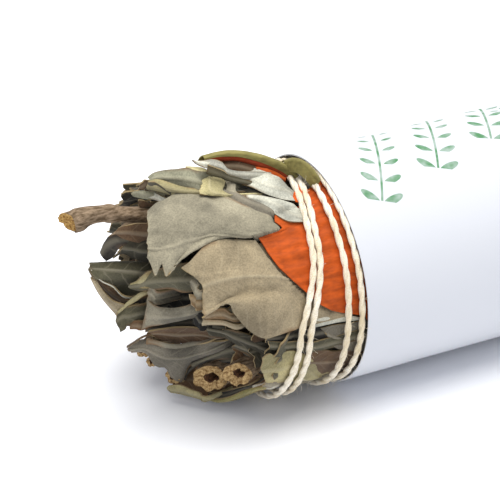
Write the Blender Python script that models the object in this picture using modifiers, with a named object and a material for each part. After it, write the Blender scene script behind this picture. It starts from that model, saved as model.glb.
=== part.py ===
"""A dried sage bundle: seven leafy stems tied round with cotton string, a few orange petals tucked
under the string, and a plain paper sleeve. It lies on its side with the cut end towards -X."""

import math
import random

import bmesh
import bpy
from mathutils import Vector

# Driving sizes, in metres. While it is modelled, the bundle's axis is the X axis and the sleeve's
# front rim is at x = 0. Angles go round the axis in degrees: 0 is the -Y side and 90 is the top.
SLEEVE_RADIUS = 0.0225
SLEEVE_WALL = 0.00045
SLEEVE_LENGTH = 0.068
SLEEVE_FLAT_WIDTH = 0.012
STRING_RADIUS = 0.00065
STRING_COIL_RADIUS = 0.0212
BLADE = 0.0007
PETAL = 0.0006
CLEARANCE = 0.00055

# The tied bundle: how far out its leaves reach under the string, the bed that the petals press
# into them (between two angles, fading over some degrees), and the flare of the cut end.
WAIST_RADIUS = 0.0197
PETAL_RADIUS = 0.01985
PETAL_SIDE = (0, 118)
PETAL_BED = 0.0009
PETAL_BED_FADE = 8
FLARE_FROM = -0.0195
FLARE_SLOPE = 0.55

# A leaf's wave and the shape of its free end. Leaves of one stem lie DEPTH_STEP deeper each.
LEAF_WAVE = 0.0004
TORN_EDGE = 0.0012
ROUNDED_TIP = 0.0022
DEPTH_STEP = 0.00011

# The bar of packed inner leaves in each stem, a little slimmer towards the leaf tips.
CORE_ENDS = (-0.019, 0.092)
CORE_OUTER_RADIUS = 0.0182
CORE_TAPER = 0.22
CORE_TAPER_FROM = 0.67
CORE_INNER_GAP = 2.2 * CLEARANCE
CORE_SIDE_GAP = 1.3 * CLEARANCE

# The stems' rooms: six sectors round a middle one. Their walls lean near the outside, by LEAN
# degrees a metre, so leaves overlap as shingles.
CENTRE_ROOM = 0.0056
STEMS_AROUND = 6
SECTOR = 360 / STEMS_AROUND
FIRST_MIDDLE = 20
LEAN = 4000
LEAN_FROM = 0.020
LEAN_BAND = (-0.003, 0.0015)

FLOOR = -math.sqrt(SLEEVE_RADIUS**2 - (SLEEVE_FLAT_WIDTH / 2) ** 2)
LOWEST_LEAF = FLOOR + 0.0007
LOWEST_STRING = FLOOR + STRING_RADIUS + 0.0001
STRING_OFF_SLEEVE = SLEEVE_WALL + 0.0002

# Front leaves that show, as (stem, midrib, half widths, cross bend radius, tilt in degrees). A
# midrib runs from the leaf's free end to its hidden end through points (x, angle, radius).
# Stem 0 is the middle one and stems 1 to 6 stand round it, counted upwards from the -Y side.
SHOWN_LEAVES = (
    (2, ((-0.036, 74, 0.0235), (-0.025, 80, 0.0220), (-0.014, 76, 0.0192), (0.012, 76, 0.0160)),
     (0.0100, 0.0108, 0.0085, 0.0050), 0.022, 0),
    (1, ((-0.0315, 40, 0.0222), (-0.022, 33, 0.0215), (-0.014, 28, 0.0196), (0.012, 26, 0.0160)),
     (0.0060, 0.0094, 0.0090, 0.0050), 0.021, 0),
    (1, ((-0.027, 5, 0.0200), (-0.017, 4, 0.0200), (-0.008, 0, 0.0188), (0.012, 4, 0.0160)),
     (0.0040, 0.0045, 0.0050, 0.0040), 0.020, 0),
    (2, ((-0.022, 99, 0.0200), (-0.014, 94, 0.0192), (-0.006, 88, 0.0188), (0.012, 90, 0.0160)),
     (0.0050, 0.0060, 0.0060, 0.0040), 0.018, 0),
    (2, ((-0.0345, 95, 0.0240), (-0.030, 93, 0.0240), (-0.025, 90, 0.0225), (-0.012, 88, 0.0165)),
     (0.0030, 0.0034, 0.0040, 0.0030), 0.004, 0),
    (3, ((-0.031, 121, 0.0262), (-0.025, 121, 0.0240), (-0.017, 123, 0.0205), (0.010, 126, 0.0160)),
     (0.0050, 0.0065, 0.0075, 0.0050), 0.019, 0),
    (6, ((-0.0235, -16, 0.0205), (-0.016, -20, 0.0202), (-0.008, -22, 0.0188), (0.012, -24, 0.0160)),
     (0.0055, 0.0065, 0.0060, 0.0040), 0.020, 0),
    (6, ((-0.027, -44, 0.0200), (-0.018, -46, 0.0202), (-0.008, -48, 0.0188), (0.012, -44, 0.0160)),
     (0.0050, 0.0060, 0.0065, 0.0040), 0.019, 0),
    (5, ((-0.031, -92, 0.0206), (-0.023, -84, 0.0206), (-0.012, -82, 0.0188), (0.012, -92, 0.0160)),
     (0.0050, 0.0072, 0.0080, 0.0050), 0.020, 0),
    (3, ((-0.0415, 128, 0.0130), (-0.037, 124, 0.0125), (-0.030, 128, 0.0120), (-0.014, 132, 0.0120)),
     (0.0035, 0.0050, 0.0055, 0.0040), 0.004, 60),
    (4, ((-0.041, 172, 0.0110), (-0.036, 178, 0.0110), (-0.028, 182, 0.0112), (-0.014, 184, 0.0120)),
     (0.0040, 0.0056, 0.0055, 0.0040), -0.005, 75),
    (2, ((-0.0385, 84, 0.0160), (-0.034, 84, 0.0165), (-0.028, 82, 0.0162), (-0.014, 80, 0.0150)),
     (0.0040, 0.0052, 0.0050, 0.0040), 0.006, 20),
    (1, ((-0.0340, 34, 0.0150), (-0.030, 32, 0.0155), (-0.025, 30, 0.0155), (-0.013, 28, 0.0145)),
     (0.0045, 0.0058, 0.0055, 0.0040), 0.008, 10),
    (1, ((-0.0360, 6, 0.0110), (-0.032, 8, 0.0110), (-0.026, 10, 0.0112), (-0.013, 12, 0.0120)),
     (0.0035, 0.0045, 0.0050, 0.0040), -0.006, 40),
    (6, ((-0.0300, -22, 0.0150), (-0.026, -22, 0.0155), (-0.021, -24, 0.0155), (-0.012, -26, 0.0145)),
     (0.0035, 0.0050, 0.0050, 0.0040), 0.007, -10),
    (5, ((-0.0340, -100, 0.0130), (-0.029, -100, 0.0135), (-0.024, -98, 0.0140), (-0.013, -98, 0.0140)),
     (0.0040, 0.0055, 0.0055, 0.0040), 0.006, 15),
    (5, ((-0.0350, -118, 0.0180), (-0.029, -114, 0.0190), (-0.020, -112, 0.0195), (0.010, -110, 0.0160)),
     (0.0040, 0.0060, 0.0070, 0.0050), 0.018, 0),
    (0, ((-0.0400, 110, 0.0030), (-0.035, 110, 0.0030), (-0.028, 110, 0.0025), (-0.014, 110, 0.0020)),
     (0.0030, 0.0038, 0.0038, 0.0030), 0.004, 0),
    (0, ((-0.0380, -60, 0.0030), (-0.033, -60, 0.0030), (-0.026, -60, 0.0025), (-0.014, -60, 0.0020)),
     (0.0030, 0.0036, 0.0036, 0.0030), -0.004, 30),
)

# Woody stems, as (leafy stem, angle, distance from the bundle's axis, front end, radius). The last
# leafy stem has two that have grown together.
WOODY_STEMS = (
    (0, 0, 0.0000, -0.0330, 0.0017),
    (1, 24, 0.0120, -0.0300, 0.0016),
    (2, 86, 0.0110, -0.0350, 0.0018),
    (3, 142, 0.0120, -0.0370, 0.0017),
    (4, -160, 0.0120, -0.0360, 0.0018),
    (5, -102, 0.0108, -0.0340, 0.0017),
    (6, -55, 0.0145, -0.0245, 0.0030),
    (6, -36, 0.0148, -0.0205, 0.0025),
)
WOODY_TAPER = 0.94
WOODY_HIDDEN = 0.012

# The bare knotty twig that stands out of the cut end: its snapped tip, the place where it bends
# and its hidden root, as (x, angle, distance from the axis), and its radius from tip to root.
TWIG_TIP = (-0.0463, 106, 0.0196)
TWIG_BEND = (-0.0400, 104, 0.0199)
TWIG_ROOT = (-0.0230, 101, 0.0155)
TWIG_RADII = (0.0020, 0.0023, 0.0018, 0.0017, 0.0016, 0.0015)
TWIG_ROOM = 0.00034

# The petals, as (name, midrib, half widths, bend radius).
PETALS = (
    ("orange_petal_1",
     ((-0.0165, 50, PETAL_RADIUS), (-0.0110, 46, PETAL_RADIUS),
      (-0.0045, 44, PETAL_RADIUS), (0.008, 44, PETAL_RADIUS)),
     (0.0020, 0.0090, 0.0125, 0.0120), PETAL_RADIUS),
    ("orange_petal_2",
     ((-0.0205, 99, 0.0262), (-0.0135, 99, 0.0240), (-0.0065, 98, 0.0200), (0.008, 98, PETAL_RADIUS)),
     (0.0015, 0.0040, 0.0045, 0.0040), 0.010),
)

# The string is one winding. Each of its turns at the cut end is given by the x where it crosses
# the foot, the middle and the shoulder of the near side, and the top. It passes the sleeve in
# one and a quarter turns, and its turns at the leaf tips are even, up to a knot, which swells
# its last points.
STRING_START = (-130, -0.0130)
TURN_CROSSES = (-40, 0, 40, 90)
FRONT_TURNS = (
    (-0.0145, -0.0135, -0.0085, -0.0050),
    (-0.0120, -0.0115, -0.0072, -0.0036),
    (-0.0040, -0.0037, -0.0028, -0.0018),
    (-0.0010, -0.0008, -0.0004, 0.0004),
)
BEHIND_SLEEVE = 0.0740
SLEEVE_PASS = 450
BACK_TURNS = 3
BACK_PITCH = 0.0044
STRING_STEP = 18
STRING_SETTLING = 0.35
KNOT = (1.0, 2.2, 2.4, 1.5, 1.0, 1.0)

# Leaves that the photo hides: at the cut end of the far stems, and the tips at the other end.
HIDDEN_FRONT_LEAVES = 2
HIDDEN_FRONT_STEMS = (3, 4, 5)
HIDDEN_FRONT_WIDTHS = (0.0062, 0.0075, 0.0070, 0.0040)
BACK_LEAVES = 5
BACK_LEAVES_OF_MIDDLE = 3
BACK_TIPS = (0.096, 0.112)
SEED = 7


def named_collection(name):
    made = bpy.data.collections.new(name)
    bpy.context.scene.collection.children.link(made)
    return made


def material(name, colour, roughness):
    made = bpy.data.materials.new(name)
    made.use_nodes = True
    shader = made.node_tree.nodes["Principled BSDF"]
    shader.inputs["Base Color"].default_value = (*colour, 1)
    shader.inputs["Roughness"].default_value = roughness
    shader.inputs["Metallic"].default_value = 0
    return made


def add_object(name, mesh_data, collection, finish):
    made = bpy.data.objects.new(name, mesh_data)
    collection.objects.link(made)
    mesh_data.materials.clear()
    mesh_data.materials.append(finish)
    return made


def round_axis(x, angle, radius):
    turn = math.radians(angle)
    return Vector((x, -radius * math.cos(turn), radius * math.sin(turn)))


def between(value, low, high):
    return min(max(value, low), high)


def through(stations, along):
    """A smooth value at a place along evenly spaced stations, from a Catmull-Rom curve."""
    place = between(along, 0, 1) * (len(stations) - 1)
    first = min(int(place), len(stations) - 2)
    t = place - first
    before = stations[max(first - 1, 0)]
    a, b = stations[first], stations[first + 1]
    after = stations[min(first + 2, len(stations) - 1)]
    return (
        a
        + (b - before) * (0.5 * t)
        + (before * 2 - a * 5 + b * 4 - after) * (0.5 * t * t)
        + (a * 3 - before - b * 3 + after) * (0.5 * t**3)
    )


def eased(value, limit):
    """The value, bent over so that it nears the limit and never passes it."""
    free = 0.85 * limit
    if abs(value) <= free:
        return value
    rest = limit - free
    return math.copysign(free + rest * math.tanh((abs(value) - free) / rest), value)


def widest_leaf_radius(x, angle):
    """How far out a leaf may reach: held in at the strings and a little more under the petals,
    and flaring beyond them at the cut end."""
    first, last = PETAL_SIDE
    beside = abs(((angle - (first + last) / 2 + 180) % 360) - 180) - (last - first) / 2
    bed = PETAL_BED * between(1 - beside / PETAL_BED_FADE, 0, 1)
    return WAIST_RADIUS - bed + FLARE_SLOPE * max(FLARE_FROM - x, 0)


def room_middle(stem, radius):
    """The middle angle of a stem's room at a distance from the axis, where its walls lean."""
    lean = LEAN * between(radius - LEAN_FROM, *LEAN_BAND)
    return FIRST_MIDDLE + SECTOR * (stem - 1) - lean


def settled(point, stem, depth):
    """Presses a leaf's point into the room of its own stem, each leaf at its own depth there."""
    radius = math.hypot(point.y, point.z)
    if stem == 0:
        small = eased(radius, CENTRE_ROOM - CLEARANCE - depth)
        scale = small / max(radius, 1e-9)
        return Vector((point.x, point.y * scale, point.z * scale))
    angle = math.degrees(math.atan2(point.z, -point.y))
    radius = max(radius, CENTRE_ROOM + CLEARANCE + depth)
    radius = min(radius, widest_leaf_radius(point.x, angle) - depth)
    middle = room_middle(stem, radius)
    room = SECTOR / 2 - math.degrees((CLEARANCE + depth / 2) / radius)
    angle = middle + eased((angle - middle + 180) % 360 - 180, room)
    place = round_axis(point.x, angle, radius)
    place.z = max(place.z, LOWEST_LEAF + depth)
    return place


def bent_sheet(midrib, half_widths, bend_radius, tilt, across, along, moved):
    """A blade without thickness: a grid laid along its midrib and bent across it. Each point
    then goes where the function moved(point, forward, normal, u, v) puts it."""
    blade = bmesh.new()
    bmesh.ops.create_grid(blade, x_segments=along, y_segments=across, size=1)
    middles = [round_axis(*station) for station in midrib]
    turn = math.radians(tilt)
    for vert in blade.verts:
        u, v = (vert.co.x + 1) / 2, vert.co.y
        centre = through(middles, u)
        forward = (through(middles, u + 0.02) - through(middles, u - 0.02)).normalized()
        outward = Vector((0, centre.y, centre.z)).normalized()
        outward = (outward - forward * outward.dot(forward)).normalized()
        sideways = forward.cross(outward)
        side = sideways * math.cos(turn) + outward * math.sin(turn)
        normal = outward * math.cos(turn) - sideways * math.sin(turn)
        bend = v * through(half_widths, u) / bend_radius
        offset = side * (bend_radius * math.sin(bend)) - normal * (bend_radius * (1 - math.cos(bend)))
        vert.co = moved(centre + offset, forward, normal, u, v)
    return blade


def thickened(sheet, thickness):
    """Gives an open sheet its thickness, half on each side, and returns it as mesh data."""
    bmesh.ops.triangulate(sheet, faces=sheet.faces[:])
    bmesh.ops.recalc_face_normals(sheet, faces=sheet.faces[:])
    data = bpy.data.meshes.new("sheet")
    sheet.to_mesh(data)
    sheet.free()
    shape = bpy.data.objects.new("sheet", data)
    bpy.context.scene.collection.objects.link(shape)
    wall = shape.modifiers.new("thickness", "SOLIDIFY")
    wall.thickness = thickness
    wall.offset = 0
    graph = bpy.context.evaluated_depsgraph_get()
    data = bpy.data.meshes.new_from_object(shape.evaluated_get(graph))
    bpy.data.objects.remove(shape)
    return data


def leaf_sheet(stem, depth, midrib, half_widths, bend_radius, tilt, draws, across=4, along=5):
    """One leaf blade, waved, with a torn free end, and pressed into its stem's room."""
    torn = [draws.uniform(-TORN_EDGE, TORN_EDGE) for _ in range(across + 1)]
    wave = draws.uniform(0, 6)

    def moved(point, forward, normal, u, v):
        point = point + normal * (LEAF_WAVE * math.sin(wave + 5 * u + 3 * v) * (1 - u))
        if u < 1e-6:
            point += forward * (torn[round((v + 1) / 2 * across)] + ROUNDED_TIP * v * v)
        return settled(point, stem, depth)

    return thickened(bent_sheet(midrib, half_widths, bend_radius, tilt, across, along, moved), BLADE)


def core_mesh(stem):
    """The packed inner leaves of a stem, as a plain bar that fills the middle of its room."""
    bar = bmesh.new()
    sides = 10 if stem else 8
    bmesh.ops.create_cone(bar, cap_ends=True, segments=sides, radius1=1, radius2=1, depth=1)
    long_edges = [e for e in bar.edges if abs(e.verts[0].co.z - e.verts[1].co.z) > 0.5]
    bmesh.ops.subdivide_edges(bar, edges=long_edges, cuts=2)
    start, end = CORE_ENDS
    for vert in bar.verts:
        along = vert.co.z + 0.5
        x = start + (end - start) * along
        taper = 1 - CORE_TAPER * max(along - CORE_TAPER_FROM, 0) / (1 - CORE_TAPER_FROM)
        if stem == 0:
            size = (CENTRE_ROOM - 2 * CLEARANCE) * taper
            vert.co = Vector((x, vert.co.x * size, vert.co.y * size))
            continue
        square = max(abs(vert.co.x), abs(vert.co.y))
        inner, outer = CENTRE_ROOM + CORE_INNER_GAP, CORE_OUTER_RADIUS * taper
        radius = (inner + outer) / 2 + vert.co.y / square * 0.96 * (outer - inner) / 2
        room = SECTOR / 2 - math.degrees(CORE_SIDE_GAP / radius)
        angle = room_middle(stem, radius) + vert.co.x / square * room * 0.94
        vert.co = round_axis(x, angle, radius)
    bmesh.ops.triangulate(bar, faces=bar.faces[:])
    bmesh.ops.recalc_face_normals(bar, faces=bar.faces[:])
    data = bpy.data.meshes.new("core")
    bar.to_mesh(data)
    bar.free()
    return data


def stem_mesh(angle, distance, front, radius):
    """A stem's cut front end, a short round bar that runs on into the packed leaves."""
    bar = bmesh.new()
    depth = CORE_ENDS[0] + WOODY_HIDDEN - front
    bmesh.ops.create_cone(
        bar, cap_ends=True, segments=8, radius1=radius, radius2=radius * WOODY_TAPER, depth=depth
    )
    middle = round_axis(front + depth / 2, angle, distance)
    for vert in bar.verts:
        vert.co = Vector((vert.co.z, vert.co.y, vert.co.x)) + middle
    bmesh.ops.recalc_face_normals(bar, faces=bar.faces[:])
    data = bpy.data.meshes.new("stem")
    bar.to_mesh(data)
    bar.free()
    return data


def largest_body(mesh_data):
    """Drops the loose scraps that a union can leave, and keeps the largest closed body."""
    whole = bmesh.new()
    whole.from_mesh(mesh_data)
    left = set(whole.faces)
    bodies = []
    while left:
        body = set()
        edge_of_body = [left.pop()]
        while edge_of_body:
            face = edge_of_body.pop()
            body.add(face)
            near = {f for e in face.edges for f in e.link_faces} & left
            left -= near
            edge_of_body.extend(near)
        bodies.append(body)
    largest = max(bodies, key=len)
    scraps = [face for body in bodies if body is not largest for face in body]
    bmesh.ops.delete(whole, geom=scraps, context="FACES")
    whole.to_mesh(mesh_data)
    whole.free()


def fused(name, pieces, collection, finish, cutters=()):
    """One closed node from many overlapping pieces, with plain channels cut for its neighbours."""
    helpers = named_collection("fusing_" + name)
    for number, data in enumerate(pieces[1:]):
        helpers.objects.link(bpy.data.objects.new(f"{name}_piece_{number}", data))
    node = add_object(name, pieces[0], collection, finish)
    union = node.modifiers.new("union", "BOOLEAN")
    union.operation = "UNION"
    union.operand_type = "COLLECTION"
    union.collection = helpers
    union.solver = "MANIFOLD"
    for cutter in cutters:
        channel = node.modifiers.new("channel", "BOOLEAN")
        channel.operation = "DIFFERENCE"
        channel.object = cutter
        channel.solver = "MANIFOLD"
    graph = bpy.context.evaluated_depsgraph_get()
    data = bpy.data.meshes.new_from_object(node.evaluated_get(graph))
    node.modifiers.clear()
    node.data = data
    for helper in list(helpers.objects):
        bpy.data.objects.remove(helper)
    bpy.data.collections.remove(helpers)
    largest_body(data)
    data.materials.clear()
    data.materials.append(finish)
    return node


def hidden_front_leaf(angle, draws):
    """The midrib, half widths and bend radius of a leaf on the far side of the cut end."""
    midrib = (
        (draws.uniform(-0.036, -0.032), angle, 0.0225),
        (-0.024, angle, 0.0205),
        (-0.012, angle, WAIST_RADIUS),
        (0.012, angle, 0.0160),
    )
    return midrib, HIDDEN_FRONT_WIDTHS, 0.020


def back_leaf(stem, number, draws):
    """The midrib, half widths and bend radius of a leaf tip at the far end."""
    outer = stem > 0 and number < 3
    if stem == 0:
        angle, bulge, width = 120 * number, 0.0030, 0.0038
    else:
        spread = (number - 1) * 18 if outer else draws.uniform(-14, 14)
        angle = FIRST_MIDDLE + SECTOR * (stem - 1) + spread + draws.uniform(-3, 3)
        bulge = WAIST_RADIUS if outer else 0.0140
        width = draws.uniform(0.0068, 0.0078)
    base = 0.060 if outer else 0.076
    tip = draws.uniform(*BACK_TIPS) - (0 if outer else 0.006)
    midrib = (
        (tip, angle, bulge * draws.uniform(0.66, 0.80)),
        (tip - 0.35 * (tip - base), angle, bulge * 0.98),
        (tip - 0.70 * (tip - base), angle, bulge),
        (base, angle, bulge * 0.84),
    )
    return midrib, (width * 0.35, width, width, width * 0.6), 0.018 if outer else 0.009


def leafy_stem(stem, collection, finish, cutters):
    """One stem with its packed inner leaves, woody stems and free leaves, as one closed body."""
    draws = random.Random(SEED + stem)
    pieces = [core_mesh(stem)]
    pieces += [stem_mesh(*place) for owner, *place in WOODY_STEMS if owner == stem]
    for owner, *leaf in SHOWN_LEAVES:
        if owner == stem:
            pieces.append(leaf_sheet(stem, DEPTH_STEP * len(pieces), *leaf, draws))
    if stem in HIDDEN_FRONT_STEMS:
        for number in range(HIDDEN_FRONT_LEAVES):
            angle = FIRST_MIDDLE + SECTOR * (stem - 1) - 15 + 30 * number + draws.uniform(-3, 3)
            leaf = hidden_front_leaf(angle, draws)
            pieces.append(leaf_sheet(stem, DEPTH_STEP * len(pieces), *leaf, 0, draws, 2, 5))
    for number in range(BACK_LEAVES if stem else BACK_LEAVES_OF_MIDDLE):
        leaf = back_leaf(stem, number, draws)
        pieces.append(leaf_sheet(stem, DEPTH_STEP * len(pieces), *leaf, 0, draws, 2, 4))
    return fused(f"leafy_stem_{stem + 1}", pieces, collection, finish, cutters)


def petal(name, midrib, half_widths, bend_radius, collection, finish):
    """A loose petal under the string, bent to the bundle."""
    sheet = bent_sheet(
        midrib, half_widths, bend_radius, 0, 5, 7, lambda point, forward, normal, u, v: point
    )
    return add_object(name, thickened(sheet, PETAL), collection, finish)


def tube_object(name, points, radii, sides, collection, finish):
    """A round bar along points, as a mesh with closed ends."""
    curve = bpy.data.curves.new(name, "CURVE")
    curve.dimensions = "3D"
    curve.bevel_depth = 1
    curve.bevel_resolution = max(sides // 2 - 2, 0)
    curve.use_fill_caps = True
    spline = curve.splines.new("POLY")
    spline.points.add(len(points) - 1)
    for place, point, radius in zip(spline.points, points, radii):
        place.co = (*point, 1)
        place.radius = radius
    guide = bpy.data.objects.new(name + "_guide", curve)
    bpy.context.scene.collection.objects.link(guide)
    graph = bpy.context.evaluated_depsgraph_get()
    data = bpy.data.meshes.new_from_object(guide.evaluated_get(graph))
    bpy.data.objects.remove(guide)
    solid = bmesh.new()
    solid.from_mesh(data)
    bmesh.ops.remove_doubles(solid, verts=solid.verts[:], dist=1e-6)
    bmesh.ops.triangulate(solid, faces=solid.faces[:])
    bmesh.ops.recalc_face_normals(solid, faces=solid.faces[:])
    solid.to_mesh(data)
    solid.free()
    return add_object(name, data, collection, finish)


def string_route():
    """The string's turning places, as (angle along it, x), from its first end to its knot."""
    route = [STRING_START]
    for turn, crossings in enumerate(FRONT_TURNS):
        route += [(360 * turn + angle, x) for angle, x in zip(TURN_CROSSES, crossings)]
    behind = route[-1][0] + SLEEVE_PASS
    for half_turn in range(2 * BACK_TURNS + 1):
        route.append((behind + 180 * half_turn, BEHIND_SLEEVE + BACK_PITCH * half_turn / 2))
    return route


def string_line():
    """The string's middle line, a point every few degrees round the bundle, and its radii. The
    knot lies on the leaves, so its middle is further out by as much as it swells."""
    route = string_route()
    angles = range(route[0][0], route[-1][0] + 1, STRING_STEP)
    swells = [1.0] * (len(angles) - len(KNOT)) + list(KNOT)
    points = []
    for angle, swell in zip(angles, swells):
        number = max(i for i, station in enumerate(route[:-1]) if station[0] <= angle)
        (a0, x0), (a1, x1) = route[number], route[number + 1]
        t = (angle - a0) / (a1 - a0)
        t += STRING_SETTLING * (t * t * (3 - 2 * t) - t)
        radius = STRING_COIL_RADIUS + STRING_RADIUS * (swell - 1)
        point = round_axis(x0 + (x1 - x0) * t, angle, radius)
        in_sleeve = 0 < point.x < SLEEVE_LENGTH
        point.z = max(point.z, LOWEST_STRING + (STRING_OFF_SLEEVE if in_sleeve else 0))
        points.append(point)
    return points, [STRING_RADIUS * swell for swell in swells]


def sleeve(collection, finish):
    """A paper tube, pressed flat where it lies on the table."""
    tube = bmesh.new()
    bmesh.ops.create_cone(
        tube, cap_ends=False, segments=56, radius1=SLEEVE_RADIUS, radius2=SLEEVE_RADIUS, depth=SLEEVE_LENGTH
    )
    for vert in tube.verts:
        vert.co = Vector((vert.co.z + SLEEVE_LENGTH / 2, vert.co.x, vert.co.y))
    bmesh.ops.recalc_face_normals(tube, faces=tube.faces[:])
    data = bpy.data.meshes.new("paper_sleeve")
    tube.to_mesh(data)
    tube.free()
    made = add_object("paper_sleeve", data, collection, finish)
    wall = made.modifiers.new("wall", "SOLIDIFY")
    wall.thickness = SLEEVE_WALL
    wall.offset = -1
    graph = bpy.context.evaluated_depsgraph_get()
    made.data = bpy.data.meshes.new_from_object(made.evaluated_get(graph))
    made.modifiers.clear()
    for vert in made.data.vertices:
        inner = math.hypot(vert.co.y, vert.co.z) < SLEEVE_RADIUS - SLEEVE_WALL / 2
        vert.co.z = max(vert.co.z, FLOOR + (SLEEVE_WALL if inner else 0))
    return made


def stand_on_origin(pieces):
    """Moves the pieces together so that the middle of their lowest plane is at the origin."""
    corners = [v.co for piece in pieces for v in piece.data.vertices]
    low = [min(c[i] for c in corners) for i in range(3)]
    high = [max(c[i] for c in corners) for i in range(3)]
    shift = Vector((-(low[0] + high[0]) / 2, -(low[1] + high[1]) / 2, -low[2]))
    for piece in pieces:
        for vert in piece.data.vertices:
            vert.co += shift
        piece.data.update()


def build():
    """Makes every node of the bundle and stands it on the origin."""
    for old in list(bpy.data.objects):
        bpy.data.objects.remove(old)
    bundle = named_collection("sage_bundle")
    cutters = named_collection("cutters")
    sage = material("dried sage leaf", (0.42, 0.43, 0.36), 0.9)
    bark = material("dried sage twig", (0.33, 0.21, 0.11), 0.85)
    orange = material("dried orange petal", (0.72, 0.13, 0.02), 0.75)
    olive = material("dried green petal", (0.30, 0.28, 0.08), 0.75)
    cotton = material("cotton string", (0.74, 0.63, 0.46), 0.9)
    paper = material("white paper", (0.88, 0.89, 0.91), 0.6)

    twig_places = [round_axis(*place) for place in (TWIG_TIP, TWIG_BEND, TWIG_ROOT)]
    steps = len(TWIG_RADII) - 1
    twig_line = [through(twig_places, step / steps) for step in range(steps + 1)]
    twig = tube_object("side_twig", twig_line, TWIG_RADII, 8, bundle, bark)
    channel = tube_object(
        "twig_channel", twig_line, [r + TWIG_ROOM for r in TWIG_RADII], 8, cutters, bark
    )
    channel.hide_render = True
    channel.display_type = "WIRE"

    pieces = [twig]
    for stem in range(STEMS_AROUND + 1):
        crossed = (channel,) if stem in (2, 3) else ()
        pieces.append(leafy_stem(stem, bundle, sage, crossed))
    for sizes, finish in zip(PETALS, (orange, olive)):
        pieces.append(petal(*sizes, bundle, finish))
    pieces.append(tube_object("cotton_string", *string_line(), 6, bundle, cotton))
    pieces.append(sleeve(bundle, paper))
    stand_on_origin(pieces)
    bpy.data.objects.remove(channel)
    bpy.data.collections.remove(cutters)


build()
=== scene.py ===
# %% [markdown]
# # A dried sage bunch
# A bundle of white sage is a handful of leafy stems, tied round and round with cotton string
# while fresh, and dried. Its leaves shrink, curl and turn from green to grey. Here some orange
# petals are tucked under the string and a paper sleeve holds the middle.
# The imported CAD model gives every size. This script dresses it: each leaf is a thin sheet.

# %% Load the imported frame
import math
import random

import bmesh
import bpy
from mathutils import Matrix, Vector, noise


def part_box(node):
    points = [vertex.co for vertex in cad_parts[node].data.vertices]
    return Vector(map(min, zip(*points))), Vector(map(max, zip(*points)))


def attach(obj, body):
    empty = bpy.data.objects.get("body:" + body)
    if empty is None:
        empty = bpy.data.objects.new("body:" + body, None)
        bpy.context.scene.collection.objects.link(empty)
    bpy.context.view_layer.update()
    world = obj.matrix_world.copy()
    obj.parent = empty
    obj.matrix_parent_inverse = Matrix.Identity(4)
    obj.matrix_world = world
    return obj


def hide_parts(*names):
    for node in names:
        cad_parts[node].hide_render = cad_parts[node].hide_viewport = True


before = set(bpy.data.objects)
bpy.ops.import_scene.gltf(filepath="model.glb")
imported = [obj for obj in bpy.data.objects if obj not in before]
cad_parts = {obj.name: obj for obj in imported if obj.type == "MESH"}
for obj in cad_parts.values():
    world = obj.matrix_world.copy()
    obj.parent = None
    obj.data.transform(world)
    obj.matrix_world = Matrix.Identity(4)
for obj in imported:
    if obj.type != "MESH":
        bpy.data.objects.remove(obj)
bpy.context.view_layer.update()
print("CAD nodes:", sorted(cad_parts))

# %% [markdown]
# ## Places round the bundle
# Everything in the bundle lies round one axis, so a place is given as millimetres along the
# bundle from the sleeve's front rim, degrees round it and millimetres from the axis. Angle 0 is
# the side that faces the reader and 90 is the top. The CAD sleeve says where that axis is.

# %% The bundle's axis, read from the sleeve
MM = 0.001
SLEEVE_RADIUS = 22.5
SLEEVE_WALL = 0.45
sleeve_low, sleeve_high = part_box("paper_sleeve")
SLEEVE_LENGTH = (sleeve_high.x - sleeve_low.x) / MM
AXIS = Vector((sleeve_low.x, (sleeve_low.y + sleeve_high.y) / 2, sleeve_high.z - SLEEVE_RADIUS * MM))
FLOOR_BELOW_AXIS = AXIS.z / MM


def flat(x, angle, radius):
    """Millimetres along, towards the back and up from the axis, for a place round the bundle."""
    turn = math.radians(angle)
    return Vector((x, -radius * math.cos(turn), radius * math.sin(turn)))


def in_frame(point):
    """A place in the row frame, in metres, from millimetres along, back and up from the axis."""
    return AXIS + point * MM


def linked(name, data):
    """A new object in the scene."""
    made = bpy.data.objects.new(name, data)
    bpy.context.scene.collection.objects.link(made)
    return made


print("Axis height in mm:", round(AXIS.z / MM, 2), "sleeve length in mm:", round(SLEEVE_LENGTH, 1))

# %% [markdown]
# ## Camera
# The photo was taken from the cut end's side and from above, with a long lens: the sleeve's two
# edges hardly draw together. A long lens at 40 cm gives the same calm perspective.

# %% Camera
CAMERA_ROUND = -27.4
CAMERA_UP = 29.1
CAMERA_DISTANCE = 408.4
LOOKS_AT = Vector((-12.8, 0, 7.3))
LENS = 158.4
SENSOR = 36


def way_to_camera():
    """The way from the place that the camera looks at to the camera."""
    turn, rise = math.radians(CAMERA_ROUND), math.radians(CAMERA_UP)
    return Vector((math.sin(turn) * math.cos(rise), -math.cos(turn) * math.cos(rise), math.sin(rise)))


def add_camera():
    back = way_to_camera()
    data = bpy.data.cameras.new("photo_camera")
    data.lens = LENS
    data.sensor_width = SENSOR
    camera = linked("photo_camera", data)
    camera.location = in_frame(LOOKS_AT + back * CAMERA_DISTANCE)
    camera.rotation_euler = back.to_track_quat("Z", "Y").to_euler()
    bpy.context.scene.camera = camera
    return camera


print("Camera at", [round(c, 3) for c in add_camera().location])

# %% [markdown]
# ## Places seen in the photo
# A leaf's margin has to lie where the photo shows it. A pixel alone is only a line of sight, so
# each place is given as a pixel and one real size in millimetres: either how far from the
# bundle's axis it lies, or how far along the bundle. The camera above turns that into a place,
# so every leaf sits on the bundle, and still does when it is seen from any other side.

# %% From a pixel and a size to a place
PHOTO_SIZE = 500
FOCUS = LENS / SENSOR * PHOTO_SIZE


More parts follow.
